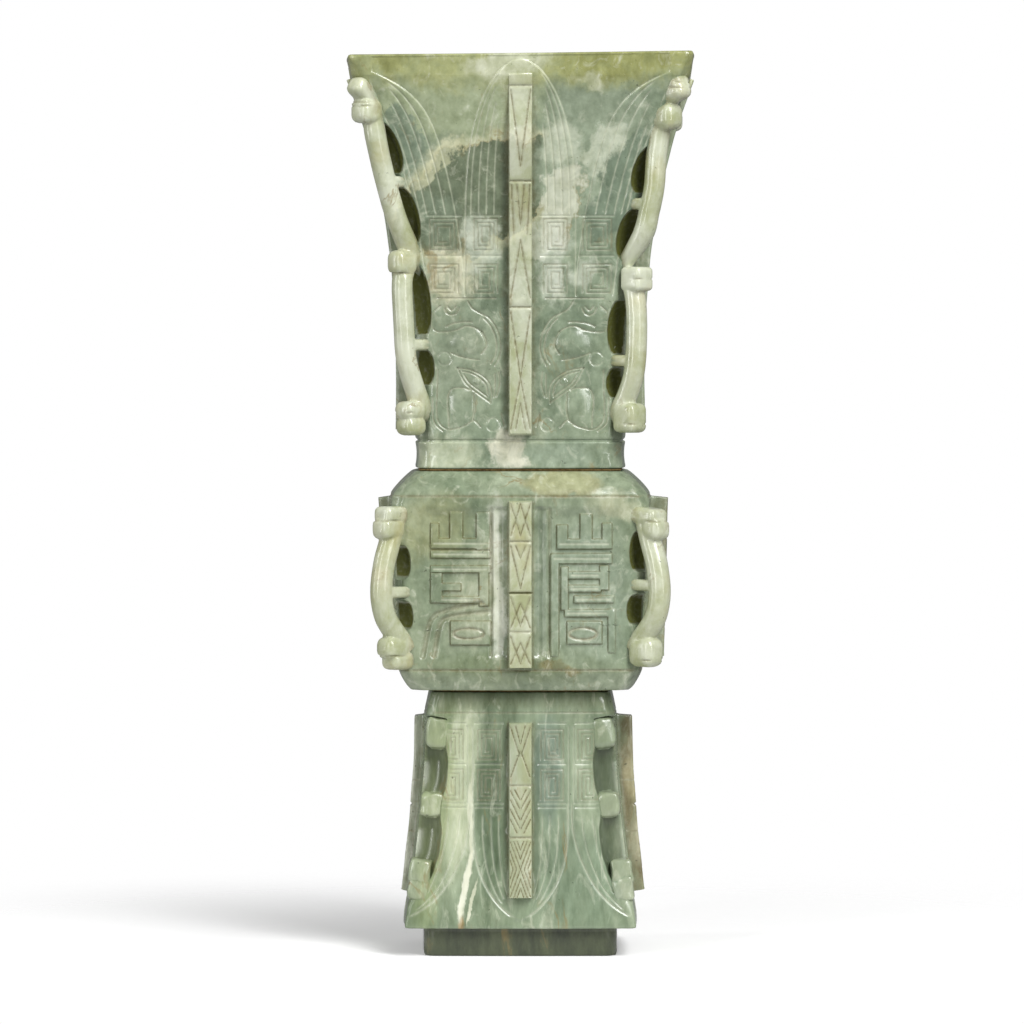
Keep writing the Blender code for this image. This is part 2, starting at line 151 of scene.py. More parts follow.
# Fineness of the carved skin: height of a row, and columns in half a face
ROW_STEP = 0.30
FRONT_COLUMNS = 165
BACK_COLUMNS = 62
SIDE_COLUMNS = 52
CANT_COLUMNS = 9
SKIN_TRIANGLES = 158000
LOOP_VOXEL = 0.30
LOOP_TRIANGLES = 9000
STUB_TRIANGLES = 1800


def lerp(a, b, t):
    return a + (b - a) * t


def ramp(low, high, value):
    """Straight climb from 0 at low to 1 at high."""
    return np.clip((value - low) / (high - low), 0.0, 1.0)


def ease(low, high, value):
    """Smooth step from 0 at low to 1 at high."""
    t = ramp(low, high, value)
    return t * t * (3.0 - 2.0 * t)


def window(value, rise, fall):
    """1 between two eased steps, one up and one down, and 0 outside them."""
    return ease(*rise, value) * (1.0 - ease(*fall, value))


def bell(offset, half):
    """1 in the middle, falling away smoothly over a half width."""
    return np.exp(-((offset / half) ** 2))


# Outlines: half width and corner cut of each block at a height


def trumpet_half(z):
    flare = ramp(TRUMPET_BOTTOM, FLARE_TOP, z)
    climb = ramp(FLARE_TOP, LIP_HEIGHT - LIP_TOP_BAND, z)
    return NECK_HALF + (FLARE_HALF - NECK_HALF) * flare**2.6 + (LIP_HALF - FLARE_HALF) * climb


def knop_half(z):
    rise = ramp(KNOP_UPPER_EDGE, KNOP_TOP, z)
    climb = ramp(KNOP_LOWER_EDGE, KNOP_UPPER_EDGE, z)
    drop = ramp(KNOP_LOWER_EDGE, KNOP_UNDERSIDE, z)
    wall = lerp(KNOP_LOWER_HALF, KNOP_HALF, climb)
    wall = wall - (KNOP_HALF - KNOP_TOP_HALF) * rise**1.35
    return wall - (KNOP_LOWER_HALF - KNOP_UNDERSIDE_HALF) * drop**1.4


def foot_half(z):
    climb = ramp(FOOT_SHOULDER, FOOT_TOP, z)
    fall = ramp(FOOT_SHOULDER, PLINTH_HEIGHT, z)
    return lerp(COLLAR_HALF, COLLAR_TOP_HALF, climb) + (FOOT_HALF - COLLAR_HALF) * fall**1.6


def bay_cut(z, bays, squareness):
    """Depth of the bays ground into a corner behind its loop, each given as top, bottom and depth."""
    deepest = 0.0
    for top, bottom, depth in bays:
        off = (z - (top + bottom) / 2.0) / ((top - bottom) / 2.0)
        deepest = max(deepest, depth * max(0.0, 1.0 - off * off) ** squareness)
    return deepest


def trumpet_cant(z, hand):
    rim = max(SHARP_CANT, HEAD_CANT * min(1.0, (LIP_HEIGHT - z) / 9.0) ** 0.7)
    return rim + bay_cut(z, TRUMPET_BAYS[hand], 0.6)


def knop_cant(z, hand):
    edge = float(window(z, (92.0, 98.0), (150.0, 153.0)))
    return lerp(CANT, KNOP_WEB_CANT, edge) + bay_cut(z, KNOP_BAYS[hand], 0.35)


def foot_cant(z, hand):
    bays = sum(math.exp(-(((z - middle) / FOOT_BAY_HALF) ** 4)) for middle in FOOT_BAYS)
    body = lerp(SHARP_CANT, FOOT_RECESS_CANT, float(ease(16.0, 29.0, z))) + FOOT_BAY_DEPTH * bays
    return lerp(body, COLLAR_CANT, float(ease(FOOT_SHOULDER - 1.8, FOOT_SHOULDER - 0.6, z)))


# Flange outlines: how far a flange stands proud at a height, with its cross grooves


def ridge(z, ends, notches, proud):
    low, high = ends
    height = proud * window(z, (low, low + 0.5), (high - 0.5, high))
    for place, depth in notches:
        height = height - depth * np.clip(1.0 - np.abs(z - place) / NOTCH_HALF, 0.0, 1.0)
    return np.maximum(0.0, height)


def trumpet_flange(z, turn):
    if turn % 2 == 0:
        proud = FLANGE_PROUD * (1.0 - 0.9 * ease(266.0, 290.0, z))
        return ridge(z, TRUMPET_FLANGE, TRUMPET_NOTCHES, proud)
    climb = ramp(TRUMPET_BOTTOM, FLARE_TOP, z)
    return ridge(z, TRUMPET_SIDE_FLANGE, TRUMPET_SIDE_NOTCHES, 6.5 * (1.0 - 0.8 * climb**1.5))


def knop_flange(z, turn):
    if turn % 2 == 0:
        return ridge(z, KNOP_FLANGE, KNOP_NOTCHES, FLANGE_PROUD)
    low, high = KNOP_SIDE_FLANGE
    proud = lerp(7.0, 5.8, (z - low) / (high - low)) if turn == RIGHT_TURN else 3.9
    return ridge(z, KNOP_SIDE_FLANGE, KNOP_SIDE_NOTCHES, proud)


def foot_flange(z, turn):
    if turn % 2 == 0:
        return ridge(z, FOOT_FLANGE, FOOT_NOTCHES, FOOT_FLANGE_PROUD)
    low, high = FOOT_SIDE_FLANGE
    climb = (z - low) / (high - low)
    proud = lerp(4.0, 5.3, climb) if turn == RIGHT_TURN else lerp(2.2, 3.2, climb)
    return ridge(z, FOOT_SIDE_FLANGE, FOOT_SIDE_NOTCHES, proud)


# Carving: every cut is a change of height over one face of a block


class Face:
    """One face of a block as a grid: place across it, height, depth of relief, and dirt."""

    def __init__(self, across, height, edge, squeeze):
        side = np.abs(across) - FLANGE_HALF
        spread = np.where(side > 0.0, FLANGE_HALF + side / squeeze, np.abs(across))
        self.u = np.sign(across) * spread
        self.z = height
        self.edge = FLANGE_HALF + (edge - FLANGE_HALF) / squeeze
        self.relief = np.zeros(self.u.shape)
        self.incised = np.zeros(self.u.shape)
        self.soil = np.zeros(self.u.shape)

    def across(self, side):
        return self.u * side if side else np.abs(self.u)


def catmull_rom(p, q, r, s, t):
    curve = (2 * p - 5 * q + 4 * r - s) * t**2 + (3 * q - p - 3 * r + s) * t**3
    return q + 0.5 * ((r - p) * t + curve)


def flowing(points, steps=6):
    """A smooth line through the few points that shape it."""
    stops = [np.array(point, float) for point in points]
    padded = [stops[0], *stops, stops[-1]]
    line = []
    for four in zip(padded, padded[1:], padded[2:], padded[3:]):
        line += [catmull_rom(*four, step / steps) for step in range(steps)]
    return [*line, stops[-1]]


def near_line(face, points, side, reach):
    """Mask of the grid points near a line, and their distance from it."""
    line = np.array(points)
    u = face.across(side)
    low, high = line.min(0) - reach, line.max(0) + reach
    mask = (u > low[0]) & (u < high[0]) & (face.z > low[1]) & (face.z < high[1])
    spots = np.stack((u[mask], face.z[mask]), 1)
    nearest = np.full(len(spots), reach)
    for start, end in zip(line, line[1:]):
        along = end - start
        share = np.clip((spots - start) @ along / max(along @ along, 1e-9), 0.0, 1.0)
        nearest = np.minimum(nearest, np.hypot(*(spots - start - share[:, None] * along).T))
    return mask, nearest


def cut(face, points, side=0, width=0.55, depth=0.32, soil=0.0, dust=1.0, straight=False):
    """An engraved line with a rounded bottom."""
    line = points if straight else flowing(points)
    mask, gap = near_line(face, line, side, 3.0 * width)
    groove = bell(gap, 0.6 * width)
    face.relief[mask] -= depth * groove
    face.incised[mask] = np.maximum(face.incised[mask], dust * groove)
    if soil:
        face.soil[mask] = np.maximum(face.soil[mask], soil * bell(gap, 0.8 * width))


def cut_rib(face, line, low, high, width=0.42, depth=0.3, dust=0.75):
    """A long engraved line given by its place across the face at each height."""
    slope = np.gradient(line[:, 0], face.z[:, 0])[:, None]
    gap = np.abs(np.abs(face.u) - line) / np.sqrt(1.0 + slope**2)
    groove = window(face.z, (low, low + 1.0), (high - 2.5, high)) * bell(gap, 0.6 * width)
    face.relief -= depth * groove
    face.incised = np.maximum(face.incised, dust * groove)


def swell_oval(face, centre, size, height, side=0):
    """A polished boss."""
    u = face.across(side)
    off = ((u - centre[0]) / size[0]) ** 2 + ((face.z - centre[1]) / size[1]) ** 2
    face.relief += height * np.where(u > 0.0, np.clip(1.0 - off, 0.0, 1.0), 0.0)


def key_fret(face, left, right, low, high, pitch=1.3, depth=0.24):
    """A rectangular spiral that winds inwards, one line width and one space at a time."""
    line = [(left, low)]
    for turn in range(3):
        inset = turn * pitch
        line += [
            (left + inset, high - inset),
            (right - inset, high - inset),
            (right - inset, low + inset),
            (left + inset + pitch, low + inset),
        ]
    cut(face, line, width=0.42, depth=depth, soil=0.35, dust=0.3, straight=True)


def hatch(face, strokes, notches, ends, width=0.5, soil=0.7):
    """Engraving on the crest of a flange, the same on both halves, and dirt in its cross grooves
    and along its foot."""
    low, high = ends
    for points in strokes:
        cut(face, points, width=width, depth=0.3, soil=soil, dust=0.4, straight=True)
    for z, depth in notches:
        groove = [(-FLANGE_HALF, z), (FLANGE_HALF, z)]
        cut(face, groove, RIGHT, 0.5, 0.1, soil=0.35 + 0.55 * depth, straight=True)
    foot = bell(np.abs(face.u) - FLANGE_HALF - 0.35, 0.4)
    foot = foot * window(face.z, (low - 0.5, low + 0.5), (high - 0.5, high + 0.5))
    face.soil = np.maximum(face.soil, 0.5 * foot)


# Ornament of the trumpet: rising leaves over key frets and a mask

MASK_LINES = (
    ((8.3, 218.8), (17.0, 218.8), (27.5, 218.8)),
    ((17.5, 217.8), (15.8, 215.3), (12.9, 213.6), (10.7, 212.5), (8.8, 210.2), (7.3, 207.1),
     (6.5, 202.9), (7.0, 199.5), (8.5, 196.5)),
    ((12.2, 212.2), (10.2, 210.0), (8.6, 206.8), (7.9, 203.0), (8.4, 199.8), (9.8, 197.2)),
    ((7.3, 194.3), (6.9, 190.4), (8.0, 186.3)),
    ((8.5, 193.7), (8.4, 190.0), (8.8, 186.0)),
    ((6.3, 180.6), (5.3, 176.4)),
    ((12.9, 207.7), (15.2, 209.1), (18.0, 209.6), (21.2, 208.3), (24.4, 207.7), (27.3, 207.7),
     (29.2, 209.0), (29.7, 211.5), (28.8, 214.1), (26.6, 216.3)),
    ((16.1, 210.9), (19.3, 210.9), (22.5, 210.4), (24.7, 209.4)),
    ((20.4, 215.6), (21.2, 213.9), (22.8, 213.2), (24.4, 213.9), (25.2, 215.6)),
    ((21.5, 216.0), (22.8, 214.8), (24.1, 216.0)),
    ((12.9, 207.7), (11.6, 205.4), (11.3, 202.9), (12.9, 200.4)),
    ((13.8, 198.4), (17.1, 198.8), (20.6, 199.7), (23.1, 200.7)),
    ((20.9, 195.7), (16.5, 195.0), (12.6, 193.0), (10.4, 190.7), (9.6, 187.5), (9.9, 184.2)),
    ((20.9, 195.7), (18.3, 190.7), (13.7, 186.9), (9.9, 184.2)),
    ((19.4, 194.6), (16.2, 193.9), (13.0, 192.0), (11.3, 189.8), (10.8, 187.0)),
    ((18.8, 193.6), (17.0, 190.8), (13.4, 188.0), (11.0, 186.2)),
    ((15.5, 187.3), (15.2, 182.5), (15.8, 178.7)),
    ((16.6, 188.4), (19.3, 189.2), (23.1, 188.5), (24.2, 184.8), (23.8, 179.3), (23.8, 176.1)),
    ((13.2, 176.1), (15.5, 178.3), (18.0, 176.8), (20.6, 175.8), (24.4, 175.4), (27.3, 178.0),
     (27.9, 182.5), (27.6, 188.9), (27.5, 195.0)),
    ((25.7, 174.8), (28.8, 178.1), (29.2, 185.8)),
)
MASK_CURLS = ((25.2, 198.8, 2.2), (9.0, 177.0, 2.2), (14.2, 191.2, 1.3))
MASK_BOSSES = (((17.3, 204.0), (6.0, 4.6), 0.85), ((19.6, 183.0), (4.4, 6.0), 0.75),
               ((14.2, 191.2), (1.7, 1.7), 0.4))
CORNER_LEAF_RIBS = ((0.22, 291.0), (0.44, 288.0), (0.64, 284.0), (0.80, 277.0))
CENTRE_LEAF_RIBS = ((0.90, 294.0), (0.76, 289.0), (0.62, 284.0), (0.48, 277.0))
MASK_TOP = 219.0
LEAF_FOOT = 246.0
LEAF_STEP = 0.34
CORNER_LEAF_TOP = 293.0
CENTRE_LEAF_TIP = (240.0, 298.0)
FRET_LINE = 232.8
MASK_EDGE = 30.6
FRET_COLUMNS = ((7.6, 15.4), (20.6, 30.0))
FRET_ROWS = ((234.7, 245.0), (220.6, 230.0))
TRUMPET_HATCH = (
    ((3.2, 287.0), (0.0, 262.0)),
    ((3.0, 256.0), (2.2, 240.0)),
    ((0.0, 238.0), (3.2, 219.0)),
    ((0.0, 243.0), (1.2, 256.0)),
    ((3.2, 214.0), (0.0, 192.5), (3.2, 175.5)),
    ((0.0, 184.0), (1.6, 175.5)),
)


def circle_line(x, z, radius, turns=0.86):
    angles = np.linspace(0.4, 0.4 + 2.0 * math.pi * turns, 20)
    return [(x + radius * math.cos(a), z + radius * math.sin(a)) for a in angles]


def trumpet_ornament(face):
    z = face.z[:, :1]
    rise = ramp(MASK_TOP, CORNER_LEAF_TOP, z)
    corner_leaf = 18.4 + 15.0 * rise**1.6 + 15.5 * rise**11
    tip = ramp(*CENTRE_LEAF_TIP, z)
    centre_leaf = 18.2 * (1.0 - tip**3) ** 0.63
    u = np.abs(face.u)
    above = ease(MASK_TOP, MASK_TOP + 2.0, face.z)
    in_corner = ease(-0.35, 0.35, u - corner_leaf)
    in_centre = ease(-0.35, 0.35, centre_leaf - u) * (1.0 - ease(297.0, 298.5, face.z))
    face.relief += LEAF_STEP * above * np.maximum(in_corner, in_centre)
    face.relief -= LEAF_STEP * above
    cut_rib(face, corner_leaf, MASK_TOP, CORNER_LEAF_TOP)
    cut_rib(face, centre_leaf, MASK_TOP, CENTRE_LEAF_TIP[1] - 0.5)
    for share, top in CORNER_LEAF_RIBS:
        cut_rib(face, lerp(corner_leaf, face.edge, share), LEAF_FOOT, top)
    for share, top in CENTRE_LEAF_RIBS:
        cut_rib(face, centre_leaf * share, LEAF_FOOT, top)
    cut_rib(face, face.edge - 1.3, MASK_TOP, CORNER_LEAF_TOP - 2.0)
    for left, right in FRET_COLUMNS:
        for low, high in FRET_ROWS:
            key_fret(face, left, right, low, high)
        for level in (LEAF_FOOT, FRET_LINE):
            cut(face, [(left - 1.0, level), (right + 1.0, level)], straight=True, width=0.45, dust=0.45)
    for boss in MASK_BOSSES:
        swell_oval(face, *boss)
    for line in MASK_LINES:
        cut(face, line, width=0.45, depth=0.34, soil=0.28, dust=0.5)
    for curl in MASK_CURLS:
        cut(face, circle_line(*curl), width=0.5, depth=0.22, dust=0.3, straight=True)
    cut_rib(face, np.full_like(z, MASK_EDGE), TRUMPET_BOTTOM + 2.0, MASK_TOP)
    hatch(face, TRUMPET_HATCH, TRUMPET_NOTCHES, (TRUMPET_FLANGE[0], 290.0))


# Ornament of the knop: raised angular bars in sunk ground, unlike on the two halves

KNOP_BARS = {
    RIGHT: (
        (12.0, 15.6, 136.0, 143.9), (19.7, 23.7, 138.0, 147.5), (27.0, 30.3, 136.0, 144.5),
        (12.0, 30.3, 135.9, 139.2), (10.1, 30.3, 131.0, 134.4), (9.8, 12.7, 100.0, 134.0),
        (15.8, 26.7, 126.0, 128.4), (15.8, 26.7, 121.6, 123.9), (13.4, 15.8, 115.6, 130.0),
        (26.2, 29.2, 122.3, 130.4), (17.7, 31.0, 118.0, 120.4), (14.6, 29.4, 113.4, 115.8),
        (15.4, 27.0, 104.4, 111.9), (29.0, 31.4, 101.4, 116.0),
    ),
    LEFT: (
        (27.0, 29.8, 136.0, 144.5), (19.1, 23.4, 138.0, 148.2), (10.1, 14.6, 135.5, 148.0),
        (10.0, 29.8, 136.0, 139.4), (10.0, 29.8, 132.9, 135.4), (10.0, 29.8, 128.0, 130.4),
        (10.5, 13.7, 117.0, 129.6), (19.7, 27.2, 122.0, 124.5), (12.9, 27.2, 117.9, 120.2),
        (26.0, 29.8, 118.0, 128.0), (9.8, 23.2, 104.1, 112.0),
    ),
}
KNOP_OVALS = {RIGHT: ((20.7, 107.8), (4.6, 1.9)), LEFT: ((17.2, 107.8), (5.0, 1.7))}
KNOP_LEG = (
    ((12.9, 118.1), (20.6, 116.7), (25.0, 115.3), (28.2, 113.9), (30.2, 111.0), (31.2, 106.2),
     (32.4, 100.2)),
    ((10.5, 115.0), (17.0, 114.4), (23.4, 113.3), (26.4, 111.6), (27.6, 107.0), (28.6, 100.4)),
)
KNOP_GROUND = 1.0
# Upright channels beside the flange: place, half width, depth, dirt
KNOP_CHANNELS = ((6.6, 2.2, 1.1, 0.0), (9.6, 0.55, 0.5, 0.35))
KNOP_BORDERS = (153.3, 95.6)
KNOP_HATCH = (
    ((3.2, 151.0), (0.0, 140.5)), ((0.0, 151.0), (3.2, 140.5)), ((3.2, 137.0), (0.0, 123.0)),
    ((0.0, 133.0), (1.6, 137.0)), ((3.2, 120.0), (0.0, 110.5)), ((0.0, 118.0), (3.2, 110.0)),
    ((3.2, 107.0), (0.0, 98.0)), ((0.0, 105.0), (3.2, 98.0)),
)


def knop_ornament(face):
    u = np.abs(face.u)
    field = window(face.z, (99.0, 101.0), (148.6, 150.4))
    panel = window(u, (8.6, 10.2), (27.0, face.edge - 1.0)) * window(face.z, (98.0, 104.0), (146.0, 150.4))
    face.relief -= KNOP_GROUND * panel
    for side, bars in KNOP_BARS.items():
        half = face.u * side > 0.0
        ground = face.relief.copy()
        tops = np.full(face.u.shape, -KNOP_GROUND)
        for left, right, low, high in bars:
            across = face.across(side)
            inside = window(across, (left - 0.4, left + 0.3), (right - 0.3, right + 0.4))
            inside = inside * window(face.z, (low - 0.4, low + 0.3), (high - 0.3, high + 0.4))
            tops = np.maximum(tops, KNOP_GROUND * (inside - 1.0))
        face.relief = np.where(half, np.maximum(ground, tops), ground)
        sunk = np.clip(-tops / KNOP_GROUND, 0.0, 1.0)
        face.soil = np.where(half, np.maximum(face.soil, 2.8 * panel * sunk * (1.0 - sunk)), face.soil)
        centre, size = KNOP_OVALS[side]
        angles = np.linspace(0.0, 2.0 * math.pi, 28)
        oval = [(centre[0] + size[0] * math.cos(a), centre[1] + size[1] * math.sin(a)) for a in angles]
        cut(face, oval, side, 0.7, 0.5, soil=0.6, straight=True)
        for left, right, low, high in bars:
            if right - left > 8.0 and high - low < 3.6:
                middle = (low + high) / 2.0
                cut(face, [(left + 1.2, middle), (right - 1.2, middle)], side, 0.5, 0.2, straight=True)
    for line in KNOP_LEG:
        cut(face, line, LEFT, 1.2, 0.8, soil=0.4, dust=0.4)
    for place, half, depth, soil in KNOP_CHANNELS:
        channel = bell(u - place, half) * field
        face.relief -= depth * channel
        face.soil = np.maximum(face.soil, soil * channel)
    for level in KNOP_BORDERS:
        cut(face, [(-60.0, level), (60.0, level)], RIGHT, 0.6, 0.34, soil=0.6, dust=0.3, straight=True)
    hatch(face, KNOP_HATCH, KNOP_NOTCHES, KNOP_FLANGE)


# Ornament of the foot: hanging lappets under key frets

FOOT_CENTRE_RIBS = (0.80, 0.62, 0.46)
FOOT_CORNER_RIBS = ((0.2, 15.5), (0.42, 21.0), (0.62, 27.0))
FOOT_FRET_COLUMNS = ((6.8, 14.2), (19.1, 25.7))
FOOT_FRET_ROWS = ((65.6, 75.4), (52.2, 62.2))
FOOT_FRET_LINES = (77.6, 64.0, 51.0, 49.6)
FOOT_UPRIGHTS = (16.0, 17.8)
FOOT_UPRIGHT_ENDS = (51.0, 76.4)
FOOT_BORDER = 81.1
# Highest and lowest points of the curves that bound the lappets
CORNER_LAPPET = (47.0, 13.0)
CENTRE_LAPPET = (46.0, 12.4)
LAPPET_STEP = 0.22
FOOT_HATCH = (
    ((3.2, 76.5), (0.2, 67.0)), ((3.2, 60.0), (0.2, 68.5)), ((1.6, 77.0), (0.1, 71.0)),
    ((3.3, 55.5), (0.2, 49.5)), ((3.3, 52.5), (0.2, 46.0)), ((3.3, 49.3), (0.2, 43.0)),
    ((3.3, 46.0), (1.2, 41.6)), ((1.9, 55.8), (0.2, 52.6)),
    ((3.3, 38.6), (0.0, 29.6), (3.3, 20.6)), ((2.2, 38.8), (0.0, 33.0)), ((1.1, 38.8), (0.0, 36.0)),
    ((2.2, 20.4), (0.0, 26.4)), ((1.1, 20.4), (0.0, 23.4)),
    ((3.4, 35.6), (1.3, 29.6), (3.4, 23.6)), ((3.4, 32.6), (2.4, 29.6), (3.4, 26.6)),
)


def foot_ornament(face):
    z = face.z[:, :1]
    u = np.abs(face.u)
    hang = ramp(*CORNER_LAPPET, z)
    corner_lappet = 17.1 + 15.0 * hang**1.9 + 6.0 * hang**8
    tip = ramp(*CENTRE_LAPPET, z)
    centre_lappet = 15.8 * (1.0 - tip**2.6) ** 0.75
    below = 1.0 - ease(49.0, 50.0, face.z)
    in_corner = ease(-0.3, 0.3, u - corner_lappet)
    in_centre = ease(-0.3, 0.3, centre_lappet - u)
    face.relief += LAPPET_STEP * below * (np.maximum(in_corner, in_centre) - 1.0)
    cut_rib(face, corner_lappet, 13.2, 52.0, 0.6, 0.32, 0.65)
    cut_rib(face, centre_lappet, 13.0, 52.0, 0.6, 0.32, 0.65)
    for share in FOOT_CENTRE_RIBS:
        cut_rib(face, centre_lappet * share, 24.0 - 8.0 * share, 48.0, dust=0.5)
    for share, low in FOOT_CORNER_RIBS:
        cut_rib(face, lerp(corner_lappet, face.edge + 4.0, share), low, 48.0, dust=0.5)
    for left, right in FOOT_FRET_COLUMNS:
        for low, high in FOOT_FRET_ROWS:
            key_fret(face, left, right, low, high)
        for level in FOOT_FRET_LINES:
            cut(face, [(left - 0.8, level), (right + 0.8, level)], straight=True, width=0.45, dust=0.4)
    low, high = FOOT_UPRIGHT_ENDS
    for place in FOOT_UPRIGHTS:
        cut(face, [(place, low), (place, high)], straight=True, width=0.45, dust=0.4)
    border = [(-60.0, FOOT_BORDER), (60.0, FOOT_BORDER)]
    cut(face, border, RIGHT, 0.45, 0.25, soil=0.4, dust=0.2, straight=True)
    hatch(face, FOOT_HATCH, FOOT_NOTCHES, FOOT_FLANGE, 0.4, 0.8)


# The carved skin of a block: a fine grid wrapped round it and closed through its hollows


def face_columns(count, crest_count):
    """For each column of a face: fixed offset, share of the way to the edge, share of the flange."""
    start = FLANGE_HALF + 0.35
    columns = [(FLANGE_HALF * 0.86 * i / crest_count, 0.0, 1.0) for i in range(crest_count + 1)]
    columns += [
        (FLANGE_HALF - 0.28, 0.0, 0.975),
        (FLANGE_HALF - 0.10, 0.0, 0.91),
        (FLANGE_HALF, 0.0, 0.74),
        (FLANGE_HALF + 0.06, 0.0, 0.36),
        (FLANGE_HALF + 0.13, 0.0, 0.07),
        (start, 0.0, 0.0),
    ]
    columns += [(start, (i + 1) / count, 0.0) for i in range(count)]
    offset, share, lift = np.array(columns).T
    sign = np.concatenate((-np.ones(len(columns) - 1), np.ones(len(columns))))
    mirrored = [np.concatenate((values[:0:-1], values)) for values in (offset, share, lift)]
    return sign, *mirrored


def hand_finish(x, z, phase):
    """The slight waviness that hand grinding leaves on a polished face."""
    broad = np.sin(0.21 * x + 0.13 * z + phase) * np.sin(0.17 * z - 0.11 * x + 2.0 * phase)
    return 0.10 * broad + 0.05 * np.sin(0.45 * x - 0.32 * z + 3.0 * phase)


def wrap_skin(rows, flange, ornament, bay_dirt_and_shade, crest):
    """Points of the wrapped grid, and its incised, soil and thin values, row by row. Soil in the bays is
    dirt and painted shade, and negative thin values are painted shade.
    """
    columns = [column[:, None] for column in np.array(rows).T]
    half, depth, left_cant, right_cant, z, swell, dip, carved = columns
    cants = {LEFT: left_cant, RIGHT: right_cant}
    outer = carved[:, 0] > 0.5
    sheets, marks = [], []
    for turn in range(4):
        broad = turn % 2 == 0
        along, out = (half, depth) if broad else (depth, half)
        count = {0: FRONT_COLUMNS, 2: BACK_COLUMNS}.get(turn, SIDE_COLUMNS)
        sign, offset, share, lift = face_columns(count, 9 if turn == 0 else 6)
        first, last = (LEFT, RIGHT) if broad else (RIGHT, LEFT)
        edge = along - np.where(sign < 0.0, cants[first], cants[last])
        s = sign * lerp(offset, edge, share)
        s = np.where(np.abs(s) > edge, sign * edge, s)
        squeeze = 1.0 if broad else 0.74
        relief = np.zeros(s.shape)
        incised = np.zeros(s.shape)
        soil = np.zeros(s.shape)
        grid_z = np.repeat(z, s.shape[1], 1)
        panel = (along - np.minimum(HEAD_CANT, np.minimum(left_cant, right_cant)))[outer]
        face = Face(s[outer], grid_z[outer], panel, squeeze)
        ornament(face)
        margin = ease(0.0, 1.6, edge[outer] - np.abs(s[outer]))
        relief[outer] = face.relief * margin
        relief[outer] += lift * flange(z[outer], turn) + hand_finish(s[outer], grid_z[outer], turn + 1.0)
        incised[outer], soil[outer] = face.incised, face.soil
        crown = 1.0 - (s / np.maximum(edge, 0.1)) ** 2
        reach = -(out + swell * crown + relief)
        cos, sin = ((1, 0), (0, 1), (-1, 0), (0, -1))[turn]
        x, y = cos * s - sin * reach, sin * s + cos * reach
        slant = LIP_DIP * crown + LIP_SLANT * (0.5 - 0.5 * x / LIP_HALF)
        sheets.append(np.stack((x, y, z - dip * slant), 2))
        thin = np.zeros(s.shape)
        thin[outer] = (crest if broad else 0.25) * lift * ease(0.1, 0.5, flange(z[outer], turn))
        # Painted shade: the plinth under the foot's overhang gets the dark stone colour
        thin[z[:, 0] <= PLINTH_HEIGHT] = PLINTH_SHADE
        marks.append(np.stack((incised, soil, thin), 2))
    points, values = [], []
    for turn in range(4):
        points.append(sheets[turn])
        values.append(marks[turn])
        start, end = sheets[turn][:, -1:], sheets[(turn + 1) % 4][:, :1]
        share = ((np.arange(CANT_COLUMNS) + 1.0) / (CANT_COLUMNS + 1.0))[None, :, None]
        cant = cants[RIGHT if turn % 2 == 0 else LEFT]
        hollow = BAY_HOLLOW * np.maximum(0.0, cant - KNOP_WEB_CANT - 1.2)[:, :, None]
        outward = np.array(((1, -1, 0), (1, 1, 0), (-1, 1, 0), (-1, -1, 0))[turn])
        points.append(lerp(start, end, share) - outward * hollow * np.sin(np.pi * share))
        dirt_and_shade = np.zeros((len(rows), CANT_COLUMNS, 3))
        # Bays behind the loops: soil that is dirt and painted shade, or, for a negative value, painted shade
        # alone through the thin value
        dirt_and_shade[:, :, 1 if bay_dirt_and_shade > 0.0 else 2] = bay_dirt_and_shade * ease(HEAD_CANT - 0.1, HEAD_CANT + 0.6, cant)
        values.append(dirt_and_shade)
    return np.concatenate(points, 1), np.concatenate(values, 1)


def skin_object(name, points, values, joined):
    """A closed mesh from the wrapped grid. Joined grids meet end to end, others are capped."""
    row_count, column_count = points.shape[:2]
    index = np.arange(row_count * column_count).reshape(row_count, column_count)
    low, high = (index, np.roll(index, -1, 0)) if joined else (index[:-1], index[1:])
    quads = np.stack((low, np.roll(low, -1, 1), np.roll(high, -1, 1), high), 2).reshape(-1, 4)
    corners = [tuple(quad) for quad in quads.tolist()]
    places = points.reshape(-1, 3)
    marks = values.reshape(-1, 3)
    if not joined:
        hubs = np.stack((points[0].mean(0), points[-1].mean(0)))
        places = np.concatenate((places, hubs))
        marks = np.concatenate((marks, np.zeros((2, 3))))
        first, last = row_count * column_count, row_count * column_count + 1
        bottom, top = index[0].tolist(), index[-1].tolist()
        corners += [(b, a, first) for a, b in zip(bottom, bottom[1:] + bottom[:1])]
        corners += [(a, b, last) for a, b in zip(top, top[1:] + top[:1])]
    mesh = bpy.data.meshes.new(name)
    mesh.from_pydata((places * MM).tolist(), [], corners)
    for k, label in enumerate(("incised", "soil", "thin")):
        attribute = mesh.attributes.new(label, "FLOAT", "POINT")
        attribute.data.foreach_set("value", np.ascontiguousarray(marks[:, k], np.float32))
    obj = bpy.data.objects.new(name, mesh)
    bpy.context.scene.collection.objects.link(obj)
    return obj


# Small helpers for work with operators


def only(obj):
    bpy.ops.object.select_all(action="DESELECT")
    obj.select_set(True)
    bpy.context.view_layer.objects.active = obj


def finish_with(obj, kind, **settings):
    """Adds a modifier with its settings and applies it."""
    only(obj)
    bpy.ops.object.modifier_add(type=kind)
    modifier = obj.modifiers[-1]
    for key, value in settings.items():
        setattr(modifier, key, value)
    bpy.ops.object.modifier_apply(modifier=modifier.name)


def thin_to(obj, triangles):
    obj.data.calc_loop_triangles()
    count = len(obj.data.loop_triangles)
    if count > triangles:
        finish_with(obj, "DECIMATE", decimate_type="COLLAPSE", ratio=triangles / count)


def join(objects, name):
    bpy.ops.object.select_all(action="DESELECT")
    for obj in objects:
        obj.select_set(True)
    bpy.context.view_layer.objects.active = objects[0]
    bpy.ops.object.join()
    joined = bpy.context.active_object
    joined.name = name
    return joined


# Loops: bars, heads, knobs and spurs that stand off the canted corners


